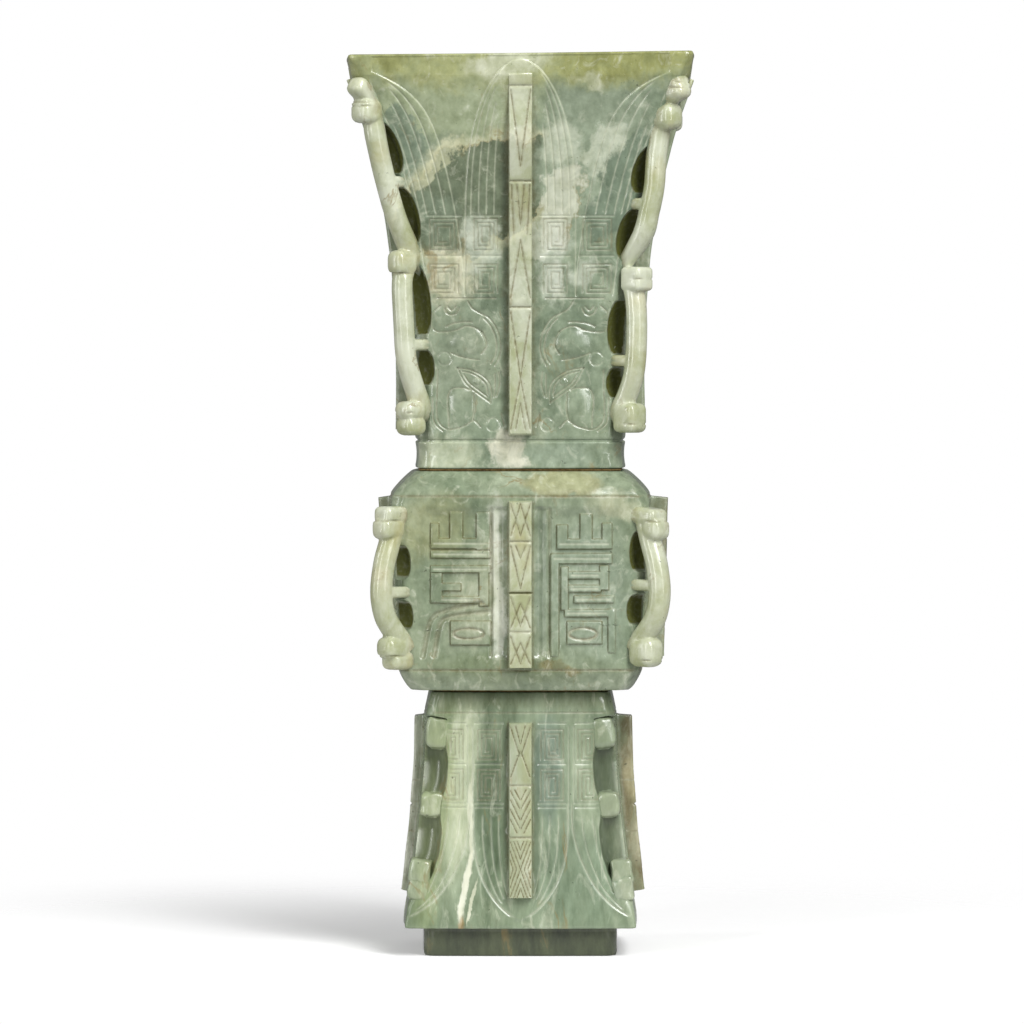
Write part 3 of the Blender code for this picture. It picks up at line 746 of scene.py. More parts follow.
def corner_point(corner, half, stand_off, z):
    reach = float(half(z)) - CANT / 2.0
    depth = float(half(z)) * DEPTH_RATIO - CANT / 2.0
    return Vector((corner[0] * (reach + stand_off), corner[1] * (depth + stand_off), z)) * MM


def bar(corner, half, stations):
    """A round bar down a corner through (height, stand-off, radius) stations."""
    path = flowing(stations, 5)
    bpy.ops.object.select_all(action="DESELECT")
    bpy.ops.curve.primitive_nurbs_path_add()
    obj = bpy.context.active_object
    curve = obj.data
    curve.splines.clear()
    spline = curve.splines.new("POLY")
    spline.points.add(len(path) - 1)
    for point, (z, off, radius) in zip(spline.points, path):
        point.co = (*corner_point(corner, half, off, z), 1.0)
        point.radius = radius
    obj.location = (0.0, 0.0, 0.0)
    curve.dimensions = "3D"
    curve.bevel_depth = MM
    curve.bevel_resolution = 6
    curve.use_fill_caps = True
    bpy.ops.object.convert(target="MESH")
    return bpy.context.active_object


def rough_block(place, size, turn):
    """A cube brought to its size, turn and place, and left in edit mode with all of it selected."""
    bpy.ops.object.select_all(action="DESELECT")
    bpy.ops.mesh.primitive_cube_add(size=1.0)
    obj = bpy.context.active_object
    obj.scale = [side * MM for side in size]
    obj.rotation_euler = turn
    obj.location = place
    bpy.ops.object.transform_apply(location=True, rotation=True, scale=True)
    bpy.ops.object.mode_set(mode="EDIT")
    bpy.ops.mesh.select_all(action="SELECT")
    return obj


def lump(corner, half, z, stand_off, size, bevel, lean=0.0):
    """A rounded block set square to a corner. Size is (outwards, across, height)."""
    turn = (0.0, -math.radians(lean), math.atan2(corner[1], corner[0]))
    obj = rough_block(corner_point(corner, half, stand_off, z), size, turn)
    bpy.ops.mesh.bevel(offset=bevel * MM, segments=4, profile=0.5, affect="EDGES")
    bpy.ops.object.mode_set(mode="OBJECT")
    return obj


def spur(corner, half, z, reach):
    """The hooked bridge between a bar and the corner: a tie, and a short horn that stands on it."""
    middle, length = (reach + SPUR_ROOT) / 2.0, math.sqrt(2.0) * (reach - SPUR_ROOT)
    tie = lump(corner, half, z, middle, (length, SPUR_WIDTH, SPUR_HEIGHT), 1.2)
    horn = lump(corner, half, z + 2.6, -2.2, HORN, 1.3, 12.0)
    return [tie, horn]


def polish(parts, corner, half, slots, thinness=1.0, dirt_and_shade=ROOT_DIRT_AND_SHADE, triangles=LOOP_TRIANGLES):
    """Melts the parts of one loop into a single polished form, with short slots cut across it."""
    form = join(parts, "loop")
    finish_with(form, "REMESH", mode="VOXEL", voxel_size=LOOP_VOXEL * MM, use_smooth_shade=True)
    finish_with(form, "SMOOTH", factor=0.5, iterations=4)
    mesh = form.data
    count = len(mesh.vertices)
    places, normals = np.empty(count * 3), np.empty(count * 3)
    mesh.vertices.foreach_get("co", places)
    mesh.vertices.foreach_get("normal", normals)
    places, normals = places.reshape(-1, 3), normals.reshape(-1, 3)
    soil = np.zeros(count)
    for z, off, length in slots:
        away = places / MM - np.array(corner_point(corner, half, off, z)) / MM
        faced = away[:, :2] * np.array(corner[:2])
        across = np.where(faced[:, 0] > faced[:, 1], faced[:, 1], faced[:, 0])
        line = np.exp(-((away[:, 2] / SLOT_HALF) ** 2) - (across / length) ** 4) * (faced.max(1) > 0.0)
        places -= normals * (SLOT_DEPTH * MM * line)[:, None]
        soil = np.maximum(soil, SLOT_DIRT * line)
    # Soil at the roots, where the loop meets the block: brown dirt and painted shade
    foot = np.array([half(z) for z in places[:, 2] / MM])
    proud = (np.abs(places[:, 0]) + np.abs(places[:, 1])) / MM - foot * (1.0 + DEPTH_RATIO) + CANT
    soil = np.maximum(soil, dirt_and_shade * (1.0 - ease(-0.5, 2.4, proud)))
    mesh.vertices.foreach_set("co", places.ravel())
    for label, values in (("thin", np.full(count, thinness)), ("soil", soil), ("incised", np.zeros(count))):
        mesh.attributes.new(label, "FLOAT", "POINT").data.foreach_set("value", values.astype(np.float32))
    thin_to(form, triangles)
    return form


# Bars of the loops: height and stand-off from the corner
UPPER_BOW = {
    LEFT: ((286.0, -2.8), (276.5, 1.0), (266.0, 2.8), (254.5, 3.3), (244.3, 2.6), (233.5, 0.0),
           (228.0, -3.0)),
    RIGHT: ((284.0, -2.7), (274.5, -0.6), (265.4, 1.3), (255.8, 3.4), (247.2, 3.8), (239.0, 3.1),
            (226.5, -3.0)),
}
LOWER_BOW = {
    LEFT: ((231.0, 1.8), (224.0, 4.4), (211.0, 5.2), (199.0, 5.1), (190.0, 3.0), (182.5, 0.4),
           (178.5, -2.0)),
    RIGHT: ((225.0, 2.0), (217.0, 4.3), (206.0, 5.4), (195.0, 5.2), (187.0, 3.2), (181.0, 0.4),
            (178.0, -2.0)),
}
TRUMPET_SPURS = {LEFT: (257.2, 203.4), RIGHT: (250.0, 198.2)}
# Slots cut across the loops: height, stand-off of the middle, half length
TRUMPET_SLOTS = {
    LEFT: ((283.2, 1.7, 3.0), (281.9, 1.7, 2.4), (227.0, 3.4, 3.0), (181.0, 4.2, 1.2)),
    RIGHT: ((287.9, -1.0, 2.6), (289.7, -1.2, 1.6), (225.2, 3.6, 2.0), (177.2, 3.9, 2.2)),
}
KNOP_BOW = ((146.0, 1.0), (138.0, 3.2), (131.0, 5.3), (122.0, 6.7), (114.5, 6.0), (109.5, 3.8),
            (103.0, -0.5))
KNOP_SPUR = {LEFT: 121.6, RIGHT: 124.0}
KNOP_SLOTS = {LEFT: ((145.4, 2.8, 3.4), (100.6, 3.0, 3.2)), RIGHT: ((145.2, 3.4, 2.6), (99.2, 3.2, 1.8))}

# Lumps of the loops: height, stand-off, size (outwards, across, height), bevel, lean
TRUMPET_LUMPS = {
    LEFT: (
        (286.2, 0.2, (12.0, 7.2, 6.4), 2.4, 36.0),
        (280.4, 1.7, (9.2, 8.2, 8.2), 2.5, 0.0),
        (230.6, 3.5, (9.2, 7.6, 8.2), 2.7, 0.0),
        (181.6, 4.2, (9.4, 8.2, 6.4), 2.8, 0.0),
        (176.6, 4.0, (9.0, 8.0, 6.4), 2.6, 0.0),
    ),
    RIGHT: (
        (287.6, -1.1, (10.4, 7.4, 9.0), 2.8, 20.0),
        (278.6, 0.1, (9.6, 8.2, 8.8), 3.0, 0.0),
        (225.2, 3.6, (8.8, 7.8, 8.0), 1.5, 0.0),
        (179.2, 3.9, (9.6, 8.4, 9.8), 2.2, 0.0),
    ),
}
KNOP_LUMPS = {
    LEFT: (
        (147.2, 2.3, (9.8, 8.0, 5.8), 2.0, 0.0),
        (142.8, 3.4, (9.6, 8.2, 7.4), 2.6, 0.0),
        (103.2, 3.9, (9.8, 8.2, 7.4), 2.8, 0.0),
        (98.9, 2.4, (9.4, 8.0, 6.0), 2.2, 0.0),
    ),
    RIGHT: (
        (146.8, 1.6, (12.0, 8.2, 5.8), 2.0, -6.0),
        (142.6, 4.4, (7.8, 8.0, 7.4), 2.6, 0.0),
        (101.8, 3.2, (11.0, 8.6, 10.0), 3.2, 0.0),
    ),
}


def loop(corner, half, bows, lumps, spurs, reach, slots):
    """One openwork loop: its bars, its head, knobs and tail, and its spurs, as one form."""
    hand = corner[2]
    parts = [bar(corner, half, bow) for bow in bows]
    parts += [lump(corner, half, *each) for each in lumps[hand]]
    for z in spurs:
        parts += spur(corner, half, z, reach)
    return polish(parts, corner, half, slots[hand])


def trumpet_loop(corner):
    hand = corner[2]
    bows = [[(z, off, BAR_RADIUS * (0.6 if off < -1.0 else 1.0)) for z, off in bow]
            for bow in (UPPER_BOW[hand], LOWER_BOW[hand])]
    return loop(corner, trumpet_half, bows, TRUMPET_LUMPS, TRUMPET_SPURS[hand], 4.8, TRUMPET_SLOTS)


def knop_loop(corner):
    bow = [(z, off, BAR_RADIUS + 0.2) for z, off in KNOP_BOW]
    return loop(corner, knop_half, [bow], KNOP_LUMPS, (KNOP_SPUR[corner[2]],), 5.6, KNOP_SLOTS)


def foot_stub(corner, low, high, width, proud):
    """A broken stub of a loop, square to the faces and worn round."""
    middle = (low + high) / 2.0
    half = float(foot_half(middle))
    across, back = half + proud - width / 2.0, half * DEPTH_RATIO + proud - width / 2.0
    place = Vector((corner[0] * across, corner[1] * back, middle)) * MM
    turn = (0.0, -corner[0] * math.radians(STUB_LEAN), 0.0)
    obj = rough_block(place, (width, width, high - low), turn)
    bpy.ops.mesh.subdivide(number_cuts=5)
    seed = int(low * 10.0 + 3.0 * corner[0] + 5.0 * corner[1])
    bpy.ops.transform.vertex_random(offset=STUB_WEAR * MM, uniform=1.0, seed=seed)
    bpy.ops.mesh.vertices_smooth(factor=0.5, repeat=4)
    bpy.ops.object.mode_set(mode="OBJECT")
    chip = lump(corner, foot_half, middle - 0.2 * (high - low), proud - 2.4,
                (4.4, 6.6, 0.7 * (high - low)), 1.3, -16.0)
    return polish([obj, chip], corner, foot_half, (), 0.18, 0.0, STUB_TRIANGLES)


# Stubs down each corner of the foot: bottom, top, width, and how far they stand proud
FOOT_STUBS = (
    (69.2, 79.6, 8.0, 0.1),
    (46.4, 54.6, 7.8, 0.1),
    (24.2, 32.8, 7.4, 1.4),
    (18.8, 27.0, 6.8, 0.9),
)


def carve_from_one_block(block, loops, stone):
    """Joins the loops to the skin of their block, and finishes the block as one piece of stone."""
    collection = bpy.data.collections.new(block.name + "_loops")
    bpy.context.scene.collection.children.link(collection)
    for form in loops:
        for home in list(form.users_collection):
            home.objects.unlink(form)
        collection.objects.link(form)
    finish_with(block, "BOOLEAN", operation="UNION", operand_type="COLLECTION",
                collection=collection, solver="MANIFOLD")
    for form in loops:
        bpy.data.objects.remove(form, do_unlink=True)
    bpy.data.collections.remove(collection)
    block.data.materials.clear()
    block.data.materials.append(stone)
    only(block)
    bpy.ops.object.shade_smooth_by_angle(angle=math.radians(50.0))


# The three blocks


def plain_row(size, z, cant=HOLLOW_CANT, swell=0.0, dip=0.0):
    return (size[0], size[1], cant, cant, z, swell, dip, 0.0)


def block_row(half, cants, z, swell, dip=0.0, carved=1.0):
    return (half, half * DEPTH_RATIO, *cants, z, swell, dip, carved)


def both_hands(cant, z):
    return cant(z, LEFT), cant(z, RIGHT)


def heights(low, high, step=ROW_STEP):
    count = max(1, round((high - low) / step))
    return [low + (high - low) * i / count for i in range(count + 1)]


def worn(depth, distance):
    """How far an edge is rounded back at a distance from it."""
    return depth * math.exp(-distance / EDGE_ROUND)


def trumpet_rows():
    rows = [plain_row(SPIGOT, SPIGOT_END), plain_row(SPIGOT, NECK_BOTTOM)]
    rows.append(block_row(NECK_HALF - 0.5, (CANT, CANT), NECK_BOTTOM, FACE_SWELL, 0.0, 0.0))
    middle, reach = (NECK_BOTTOM + NECK_TOP) / 2.0, (NECK_TOP - NECK_BOTTOM) / 2.0
    for z in heights(NECK_BOTTOM + 0.1, NECK_TOP - 0.1):
        off = min(1.0, abs(z - middle) / reach)
        half = NECK_HALF - NECK_WAIST * (1.0 - off**2) - 0.45 * off**24
        rows.append(block_row(half, (CANT, CANT), z, FACE_SWELL))
    groove = NECK_HALF - FILLET_DEPTH
    for z in (NECK_TOP + 0.05, TRUMPET_BOTTOM - 0.1):
        rows.append(block_row(groove, (CANT, CANT), z, FACE_SWELL))
    for z in heights(TRUMPET_BOTTOM, LIP_HEIGHT - LIP_ROUND):
        edge = worn(0.45, z - TRUMPET_BOTTOM)
        dip = float(ease(LIP_HEIGHT - LIP_BAND, LIP_HEIGHT - LIP_ROUND, z))
        half = float(trumpet_half(z)) - edge
        rows.append(block_row(half, both_hands(trumpet_cant, z), z, FACE_SWELL, dip))
    for inset, drop in ((0.06, 0.62), (0.22, 0.3), (0.46, 0.1), (0.8, 0.0)):
        size = (LIP_HALF - inset, LIP_HALF * DEPTH_RATIO - inset)
        rows.append(plain_row(size, LIP_HEIGHT - drop, SHARP_CANT, FACE_SWELL, 1.0))
    inside = (LIP_HALF - LIP_WALL, LIP_HALF * DEPTH_RATIO - LIP_WALL)
    for inset, drop in ((-0.9, 0.0), (-0.45, 0.1), (-0.15, 0.4), (0.0, 0.9)):
        size = (inside[0] - inset, inside[1] - inset)
        rows.append(plain_row(size, LIP_HEIGHT - drop, HOLLOW_CANT, FACE_SWELL, 1.0))
    for z in reversed(heights(TRUMPET_BOTTOM, LIP_HEIGHT - LIP_BAND, 3.4)):
        t = ((z - TRUMPET_BOTTOM) / (LIP_HEIGHT - TRUMPET_BOTTOM)) ** 1.8
        size = (lerp(THROAT[0], inside[0], t), lerp(THROAT[1], inside[1], t))
        rows.append(plain_row(size, z, HOLLOW_CANT, FACE_SWELL * t))
    rows.append(plain_row(SPIGOT_BORE, SPIGOT_END))
    return rows


def knop_rows():
    rows = [plain_row(BOSS, BOSS_END), plain_row(BOSS, KNOP_UNDERSIDE)]
    rows.append(block_row(KNOP_UNDERSIDE_HALF - 0.5, (CANT, CANT), KNOP_UNDERSIDE, FACE_SWELL, 0.0, 0.0))
    for z in heights(KNOP_UNDERSIDE + 0.15, KNOP_TOP - 0.15):
        edge = worn(0.4, z - KNOP_UNDERSIDE) + worn(0.4, KNOP_TOP - z)
        rows.append(block_row(float(knop_half(z)) - edge, both_hands(knop_cant, z), z, FACE_SWELL))
    rows.append(block_row(KNOP_TOP_HALF - 0.8, (CANT, CANT), KNOP_TOP, FACE_SWELL, 0.0, 0.0))
    rows += [plain_row(KNOP_MOUTH, KNOP_TOP), plain_row(KNOP_MOUTH, SPIGOT_END)]
    rows += [plain_row(KNOP_HOLLOW, KNOP_HOLLOW_TOP, 2 * HOLLOW_CANT)]
    rows += [plain_row(KNOP_HOLLOW, KNOP_FLOOR + 5.0, 2 * HOLLOW_CANT)]
    floor = (KNOP_HOLLOW[0] - 4.0, KNOP_HOLLOW[1] - 4.0)
    rows += [plain_row(floor, KNOP_FLOOR, 2 * HOLLOW_CANT)]
    return rows


def foot_rows():
    plinth = (PLINTH_HALF, PLINTH_HALF * DEPTH_RATIO)
    rows = [plain_row((FOOT_RECESS[0] - 4.0, FOOT_RECESS[1] - 4.0), FOOT_RECESS_TOP)]
    rows += [plain_row(FOOT_RECESS, FOOT_RECESS_TOP - 4.0), plain_row(FOOT_RECESS, 0.0)]
    for inset, z in ((0.9, 0.0), (0.4, 0.12), (0.1, 0.5), (0.0, 1.1), (0.0, 4.0), (0.0, 8.0), (0.05, 9.3)):
        rows.append(plain_row((plinth[0] - inset, plinth[1] - inset), z, PLINTH_CANT, PLINTH_SWELL))
    rows.append(plain_row((plinth[0] + 0.2, plinth[1] + 0.2), PLINTH_HEIGHT, PLINTH_CANT, PLINTH_SWELL))
    rows.append(block_row(FOOT_HALF - 0.7, (SHARP_CANT, SHARP_CANT), PLINTH_HEIGHT, FOOT_SWELL, 0.0, 0.0))
    for z in heights(PLINTH_HEIGHT + 0.1, FOOT_TOP - 0.15):
        edge = worn(0.5, z - PLINTH_HEIGHT) + worn(0.4, FOOT_TOP - z)
        rows.append(block_row(float(foot_half(z)) - edge, both_hands(foot_cant, z), z, FOOT_SWELL))
    rows.append(block_row(COLLAR_TOP_HALF - 0.8, (COLLAR_CANT, COLLAR_CANT), FOOT_TOP, FOOT_SWELL, 0.0, 0.0))
    rows += [plain_row(MORTISE, FOOT_TOP), plain_row(MORTISE, MORTISE_FLOOR)]
    return rows


def carved_block(name, rows, flange, ornament, loops, joined, stone, bay_dirt_and_shade, crest):
    """A finished block. The recess value is dirt and painted shade in its bays, or painted shade there
    alone where it is negative, and crest is how thin the stone of its front flange looks."""
    points, values = wrap_skin(rows, flange, ornament, bay_dirt_and_shade, crest)
    block = skin_object(name, points, values, joined)
    thin_to(block, SKIN_TRIANGLES)
    carve_from_one_block(block, loops, stone)
    return block


# Materials


def linear(code):
    """Linear colour of an sRGB hex code."""
    shares = [int(code[i:i + 2], 16) / 255.0 for i in (1, 3, 5)]
    return (*[c / 12.92 if c <= 0.04045 else ((c + 0.055) / 1.055) ** 2.4 for c in shares], 1.0)


def node(tree, kind, values=None, links=None, out=0, **fields):
    """Adds a node with its fields, its socket values and its links, and gives one of its outputs."""
    made = tree.nodes.new("ShaderNode" + kind)
    for key, value in fields.items():
        setattr(made, key, value)
    for socket, value in (values or {}).items():
        made.inputs[socket].default_value = value
    for socket, output in (links or {}).items():
        tree.links.new(output, made.inputs[socket])
    return made.outputs[out] if made.outputs else None


def per(size):
    """Texture scale at which the features of a noise are about this many millimetres long."""
    return 1.0 / (size * MM)


def span(low, high, start=0.0, end=1.0):
    """Socket values that turn one range into another."""
    return {"From Min": low, "From Max": high, "To Min": start, "To Max": end}


# Clouds in the stone, and on the knop and foot a few painted highlights and painted shades: colour,
# centre, half sizes, tilt seen from the front, share, edge softness, and how far the cloud breaks up into
# patches
TRUMPET_CLOUDS = (
    ("#a3ad8a", (-22.0, -38.0, 283.0), (30.0, 26.0, 12.0), 6.0, 0.8, 0.3, 0.0),
    ("#95a189", (26.0, -36.0, 278.0), (18.0, 24.0, 13.0), 0.0, 0.7, 0.4, 0.0),
    ("#a3a66e", (0.0, 0.0, 301.0), (140.0, 140.0, 13.0), 0.0, 0.85, 0.3, 0.25),
    ("#8b8d52", (34.0, -38.0, 298.0), (24.0, 26.0, 7.0), 4.0, 0.75, 0.4, 0.3),
    ("#7d7f45", (-42.0, -38.0, 297.0), (5.0, 26.0, 4.0), 0.0, 0.6, 0.5, 0.0),
    ("#ced2ba", (-5.0, -44.0, 295.0), (13.0, 16.0, 4.6), 6.0, 0.8, 0.4, 0.3),
    ("#c9cdb4", (24.5, -42.0, 291.0), (4.6, 14.0, 3.0), -15.0, 0.6, 0.5, 0.4),
    ("#7d8b76", (-37.0, -34.0, 259.5), (8.5, 18.0, 19.0), 26.0, 0.85, 0.05, 0.0),
    ("#c4c6a4", (-14.0, -36.0, 252.5), (32.0, 20.0, 19.6), 30.0, 0.85, 0.12, 0.0),
    ("#7b8a75", (-40.0, -36.0, 272.5), (6.5, 18.0, 9.0), 10.0, 0.85, 0.1, 0.0),
    ("#96834f", (-14.0, -36.0, 252.5), (30.6, 20.0, 17.1), 30.0, 0.55, 0.03, 0.7),
    ("#62705a", (-14.0, -36.0, 252.5), (30.0, 20.0, 16.4), 30.0, 0.9, 0.03, 0.0),
    ("#7b8973", (-30.0, -34.0, 246.0), (9.0, 18.0, 8.0), 20.0, 0.7, 0.3, 0.3),
    ("#93a088", (15.0, -36.0, 258.0), (10.5, 20.0, 22.0), 0.0, 0.85, 0.15, 0.0),
    ("#70806c", (33.0, -34.0, 255.0), (8.0, 18.0, 20.0), -24.0, 0.8, 0.08, 0.0),
    ("#c0c7b0", (12.8, -36.0, 270.0), (5.6, 14.0, 7.5), 0.0, 0.85, 0.3, 0.3),
    ("#c2c8b0", (20.5, -36.0, 265.5), (3.6, 12.0, 3.2), 20.0, 0.7, 0.4, 0.2),
    ("#c3cab3", (27.0, -36.0, 268.0), (5.2, 14.0, 11.0), -26.0, 0.85, 0.2, 0.35),
    ("#9c8a5c", (13.0, -33.0, 249.0), (6.6, 14.0, 13.0), -14.0, 0.6, 0.05, 0.6),
    ("#ccd1bd", (12.8, -33.0, 250.0), (6.2, 14.0, 12.6), -14.0, 0.85, 0.12, 0.2),
    ("#c6cbb6", (7.4, -33.0, 238.5), (4.6, 14.0, 6.0), -30.0, 0.8, 0.2, 0.2),
    ("#6b7963", (-8.5, -30.0, 219.0), (6.0, 14.0, 8.0), 30.0, 0.8, 0.15, 0.0),
    ("#c0c7b4", (-13.3, -32.0, 237.0), (6.0, 14.0, 9.0), 10.0, 0.9, 0.25, 0.4),
    ("#cfcdb0", (-23.5, -31.0, 225.5), (9.0, 14.0, 10.0), 25.0, 0.8, 0.3, 0.5),
    ("#8a733e", (-30.0, -29.0, 229.0), (2.2, 10.0, 7.0), 6.0, 0.6, 0.4, 0.6),
    ("#cdd2c2", (10.8, -31.0, 231.0), (4.6, 14.0, 13.0), -8.0, 0.75, 0.35, 0.5),
    ("#c6ccba", (20.7, -30.0, 227.7), (3.6, 12.0, 4.4), -15.0, 0.65, 0.4, 0.3),
    ("#99a18a", (-20.0, -28.0, 200.0), (14.0, 18.0, 14.0), 0.0, 0.5, 0.4, 0.5),
    ("#c0c7ab", (-26.0, -28.0, 167.0), (11.0, 14.0, 7.0), 0.0, 0.8, 0.3, 0.3),
    ("#d8d7c2", (-4.0, -28.0, 167.0), (6.4, 12.0, 7.5), 0.0, 0.9, 0.25, 0.3),
    ("#92a08b", (14.0, -28.0, 166.0), (11.0, 12.0, 5.0), 0.0, 0.75, 0.3, 0.2),
    ("#c9caa6", (-26.6, -36.0, 262.5), (12.5, 16.0, 3.0), 47.0, 0.6, 0.25, 0.0),
)
KNOP_CLOUDS_AND_PAINTED_LIGHT = (
    ("#645a3e", (50.0, 0.0, 128.0), (4.0, 9.0, 32.0), 0.0, 0.8, 0.3, 0.6),
    ("#8c907a", (-47.5, 0.0, 128.0), (3.5, 9.0, 32.0), 0.0, 0.8, 0.3, 0.4),
    # Painted highlight: a pale band down the channel left of the flange
    ("#d3d6c6", (-7.8, -36.0, 125.0), (2.2, 8.0, 27.0), 1.5, 0.95, 0.4, 0.15),
    # Painted shade: a dark band down the channel right of the flange, which faces away from the key light
    ("#73816c", (7.0, -36.0, 125.0), (1.9, 8.0, 27.0), 0.0, 0.6, 0.4, 0.2),
    ("#8f8250", (14.0, -32.0, 158.0), (12.4, 14.0, 5.4), 0.0, 0.55, 0.15, 0.3),
    ("#a2a680", (14.0, -32.0, 158.0), (11.0, 14.0, 4.6), 0.0, 0.8, 0.4, 0.0),
    ("#9a9a69", (-30.0, -32.0, 143.0), (13.0, 16.0, 10.0), 20.0, 0.5, 0.4, 0.3),
    ("#b9bea2", (-14.0, -34.0, 120.0), (9.0, 16.0, 18.0), -20.0, 0.6, 0.4, 0.5),
    ("#95a38f", (22.0, -34.0, 122.0), (15.0, 16.0, 24.0), 10.0, 0.7, 0.4, 0.3),
    ("#6f7b58", (-4.0, -34.0, 96.0), (30.0, 16.0, 5.0), 0.0, 0.6, 0.4, 0.3),
    ("#7a6a3c", (13.0, -34.0, 97.0), (8.0, 14.0, 1.5), -5.0, 0.6, 0.3, 0.5),
    ("#c3c5a6", (31.0, -32.0, 150.0), (9.0, 14.0, 4.0), -10.0, 0.7, 0.45, 0.3),
)
FOOT_CLOUDS_AND_PAINTED_LIGHT = (
    ("#c6cdac", (-20.0, -27.0, 56.0), (4.6, 14.0, 30.0), -5.0, 0.8, 0.5, 0.3),
    ("#8d9964", (-29.0, -24.0, 45.0), (6.0, 18.0, 40.0), -6.0, 0.5, 0.4, 0.2),
    ("#53634a", (-10.5, -27.0, 47.0), (4.0, 14.0, 26.0), 0.0, 0.85, 0.3, 0.1),
    ("#7c8b72", (12.0, -27.0, 48.0), (6.0, 14.0, 36.0), 0.0, 0.7, 0.4, 0.3),
    ("#a3af93", (21.0, -27.0, 58.0), (4.5, 14.0, 20.0), 6.0, 0.6, 0.45, 0.4),
    ("#72836b", (20.0, -30.0, 26.0), (15.0, 14.0, 16.0), 0.0, 0.8, 0.4, 0.3),
    ("#6f8073", (9.0, -28.0, 62.0), (4.6, 14.0, 18.0), 0.0, 0.7, 0.3, 0.2),
    ("#d5d7bf", (-16.2, -28.0, 46.0), (0.7, 14.0, 17.0), -3.0, 0.8, 0.4, 0.2),
    ("#e0e1cc", (-18.3, -30.0, 24.0), (1.1, 14.0, 12.0), -10.0, 0.9, 0.25, 0.1),
    ("#d3d5bd", (-16.4, -30.0, 18.0), (0.5, 14.0, 7.0), -14.0, 0.8, 0.25, 0.1),
    ("#9c7a45", (-20.0, -31.0, 11.5), (0.9, 8.0, 2.8), -8.0, 0.6, 0.4, 0.2),
    ("#7b6d4c", (39.5, 0.0, 48.0), (5.5, 9.0, 42.0), 4.0, 0.85, 0.3, 0.6),
    # Painted highlight: a silver sheen over the left side flange
    ("#ced2c2", (-39.5, 0.0, 48.0), (5.5, 9.0, 42.0), -4.0, 0.85, 0.3, 0.4),
    ("#b9b08a", (38.0, 0.0, 58.0), (3.0, 9.0, 8.0), 4.0, 0.8, 0.3, 0.5),
    ("#c4c0a4", (39.5, 0.0, 36.0), (3.0, 9.0, 8.0), 4.0, 0.8, 0.3, 0.5),
    ("#443820", (36.5, 0.0, 76.0), (3.5, 9.0, 4.0), 4.0, 0.85, 0.3, 0.5),
    ("#4f4128", (40.5, 0.0, 27.0), (1.6, 9.0, 5.0), 4.0, 0.85, 0.3, 0.5),
    # Painted highlight: whiter spots of the sheen on the left side flange
    ("#eef1e6", (-38.0, 0.0, 60.0), (3.0, 9.0, 11.0), -4.0, 0.85, 0.3, 0.4),
    ("#e6eadd", (-40.0, 0.0, 32.0), (3.0, 9.0, 9.0), -4.0, 0.85, 0.3, 0.4),
    ("#50544a", (-36.5, 0.0, 78.0), (2.0, 9.0, 3.0), -4.0, 0.8, 0.3, 0.4),
    # Painted shadow: the collar darkened all round, under the overhang of the knop
    ("#6d7557", (0.0, 0.0, 86.5), (140.0, 140.0, 4.0), 0.0, 0.6, 0.4, 0.4),
)


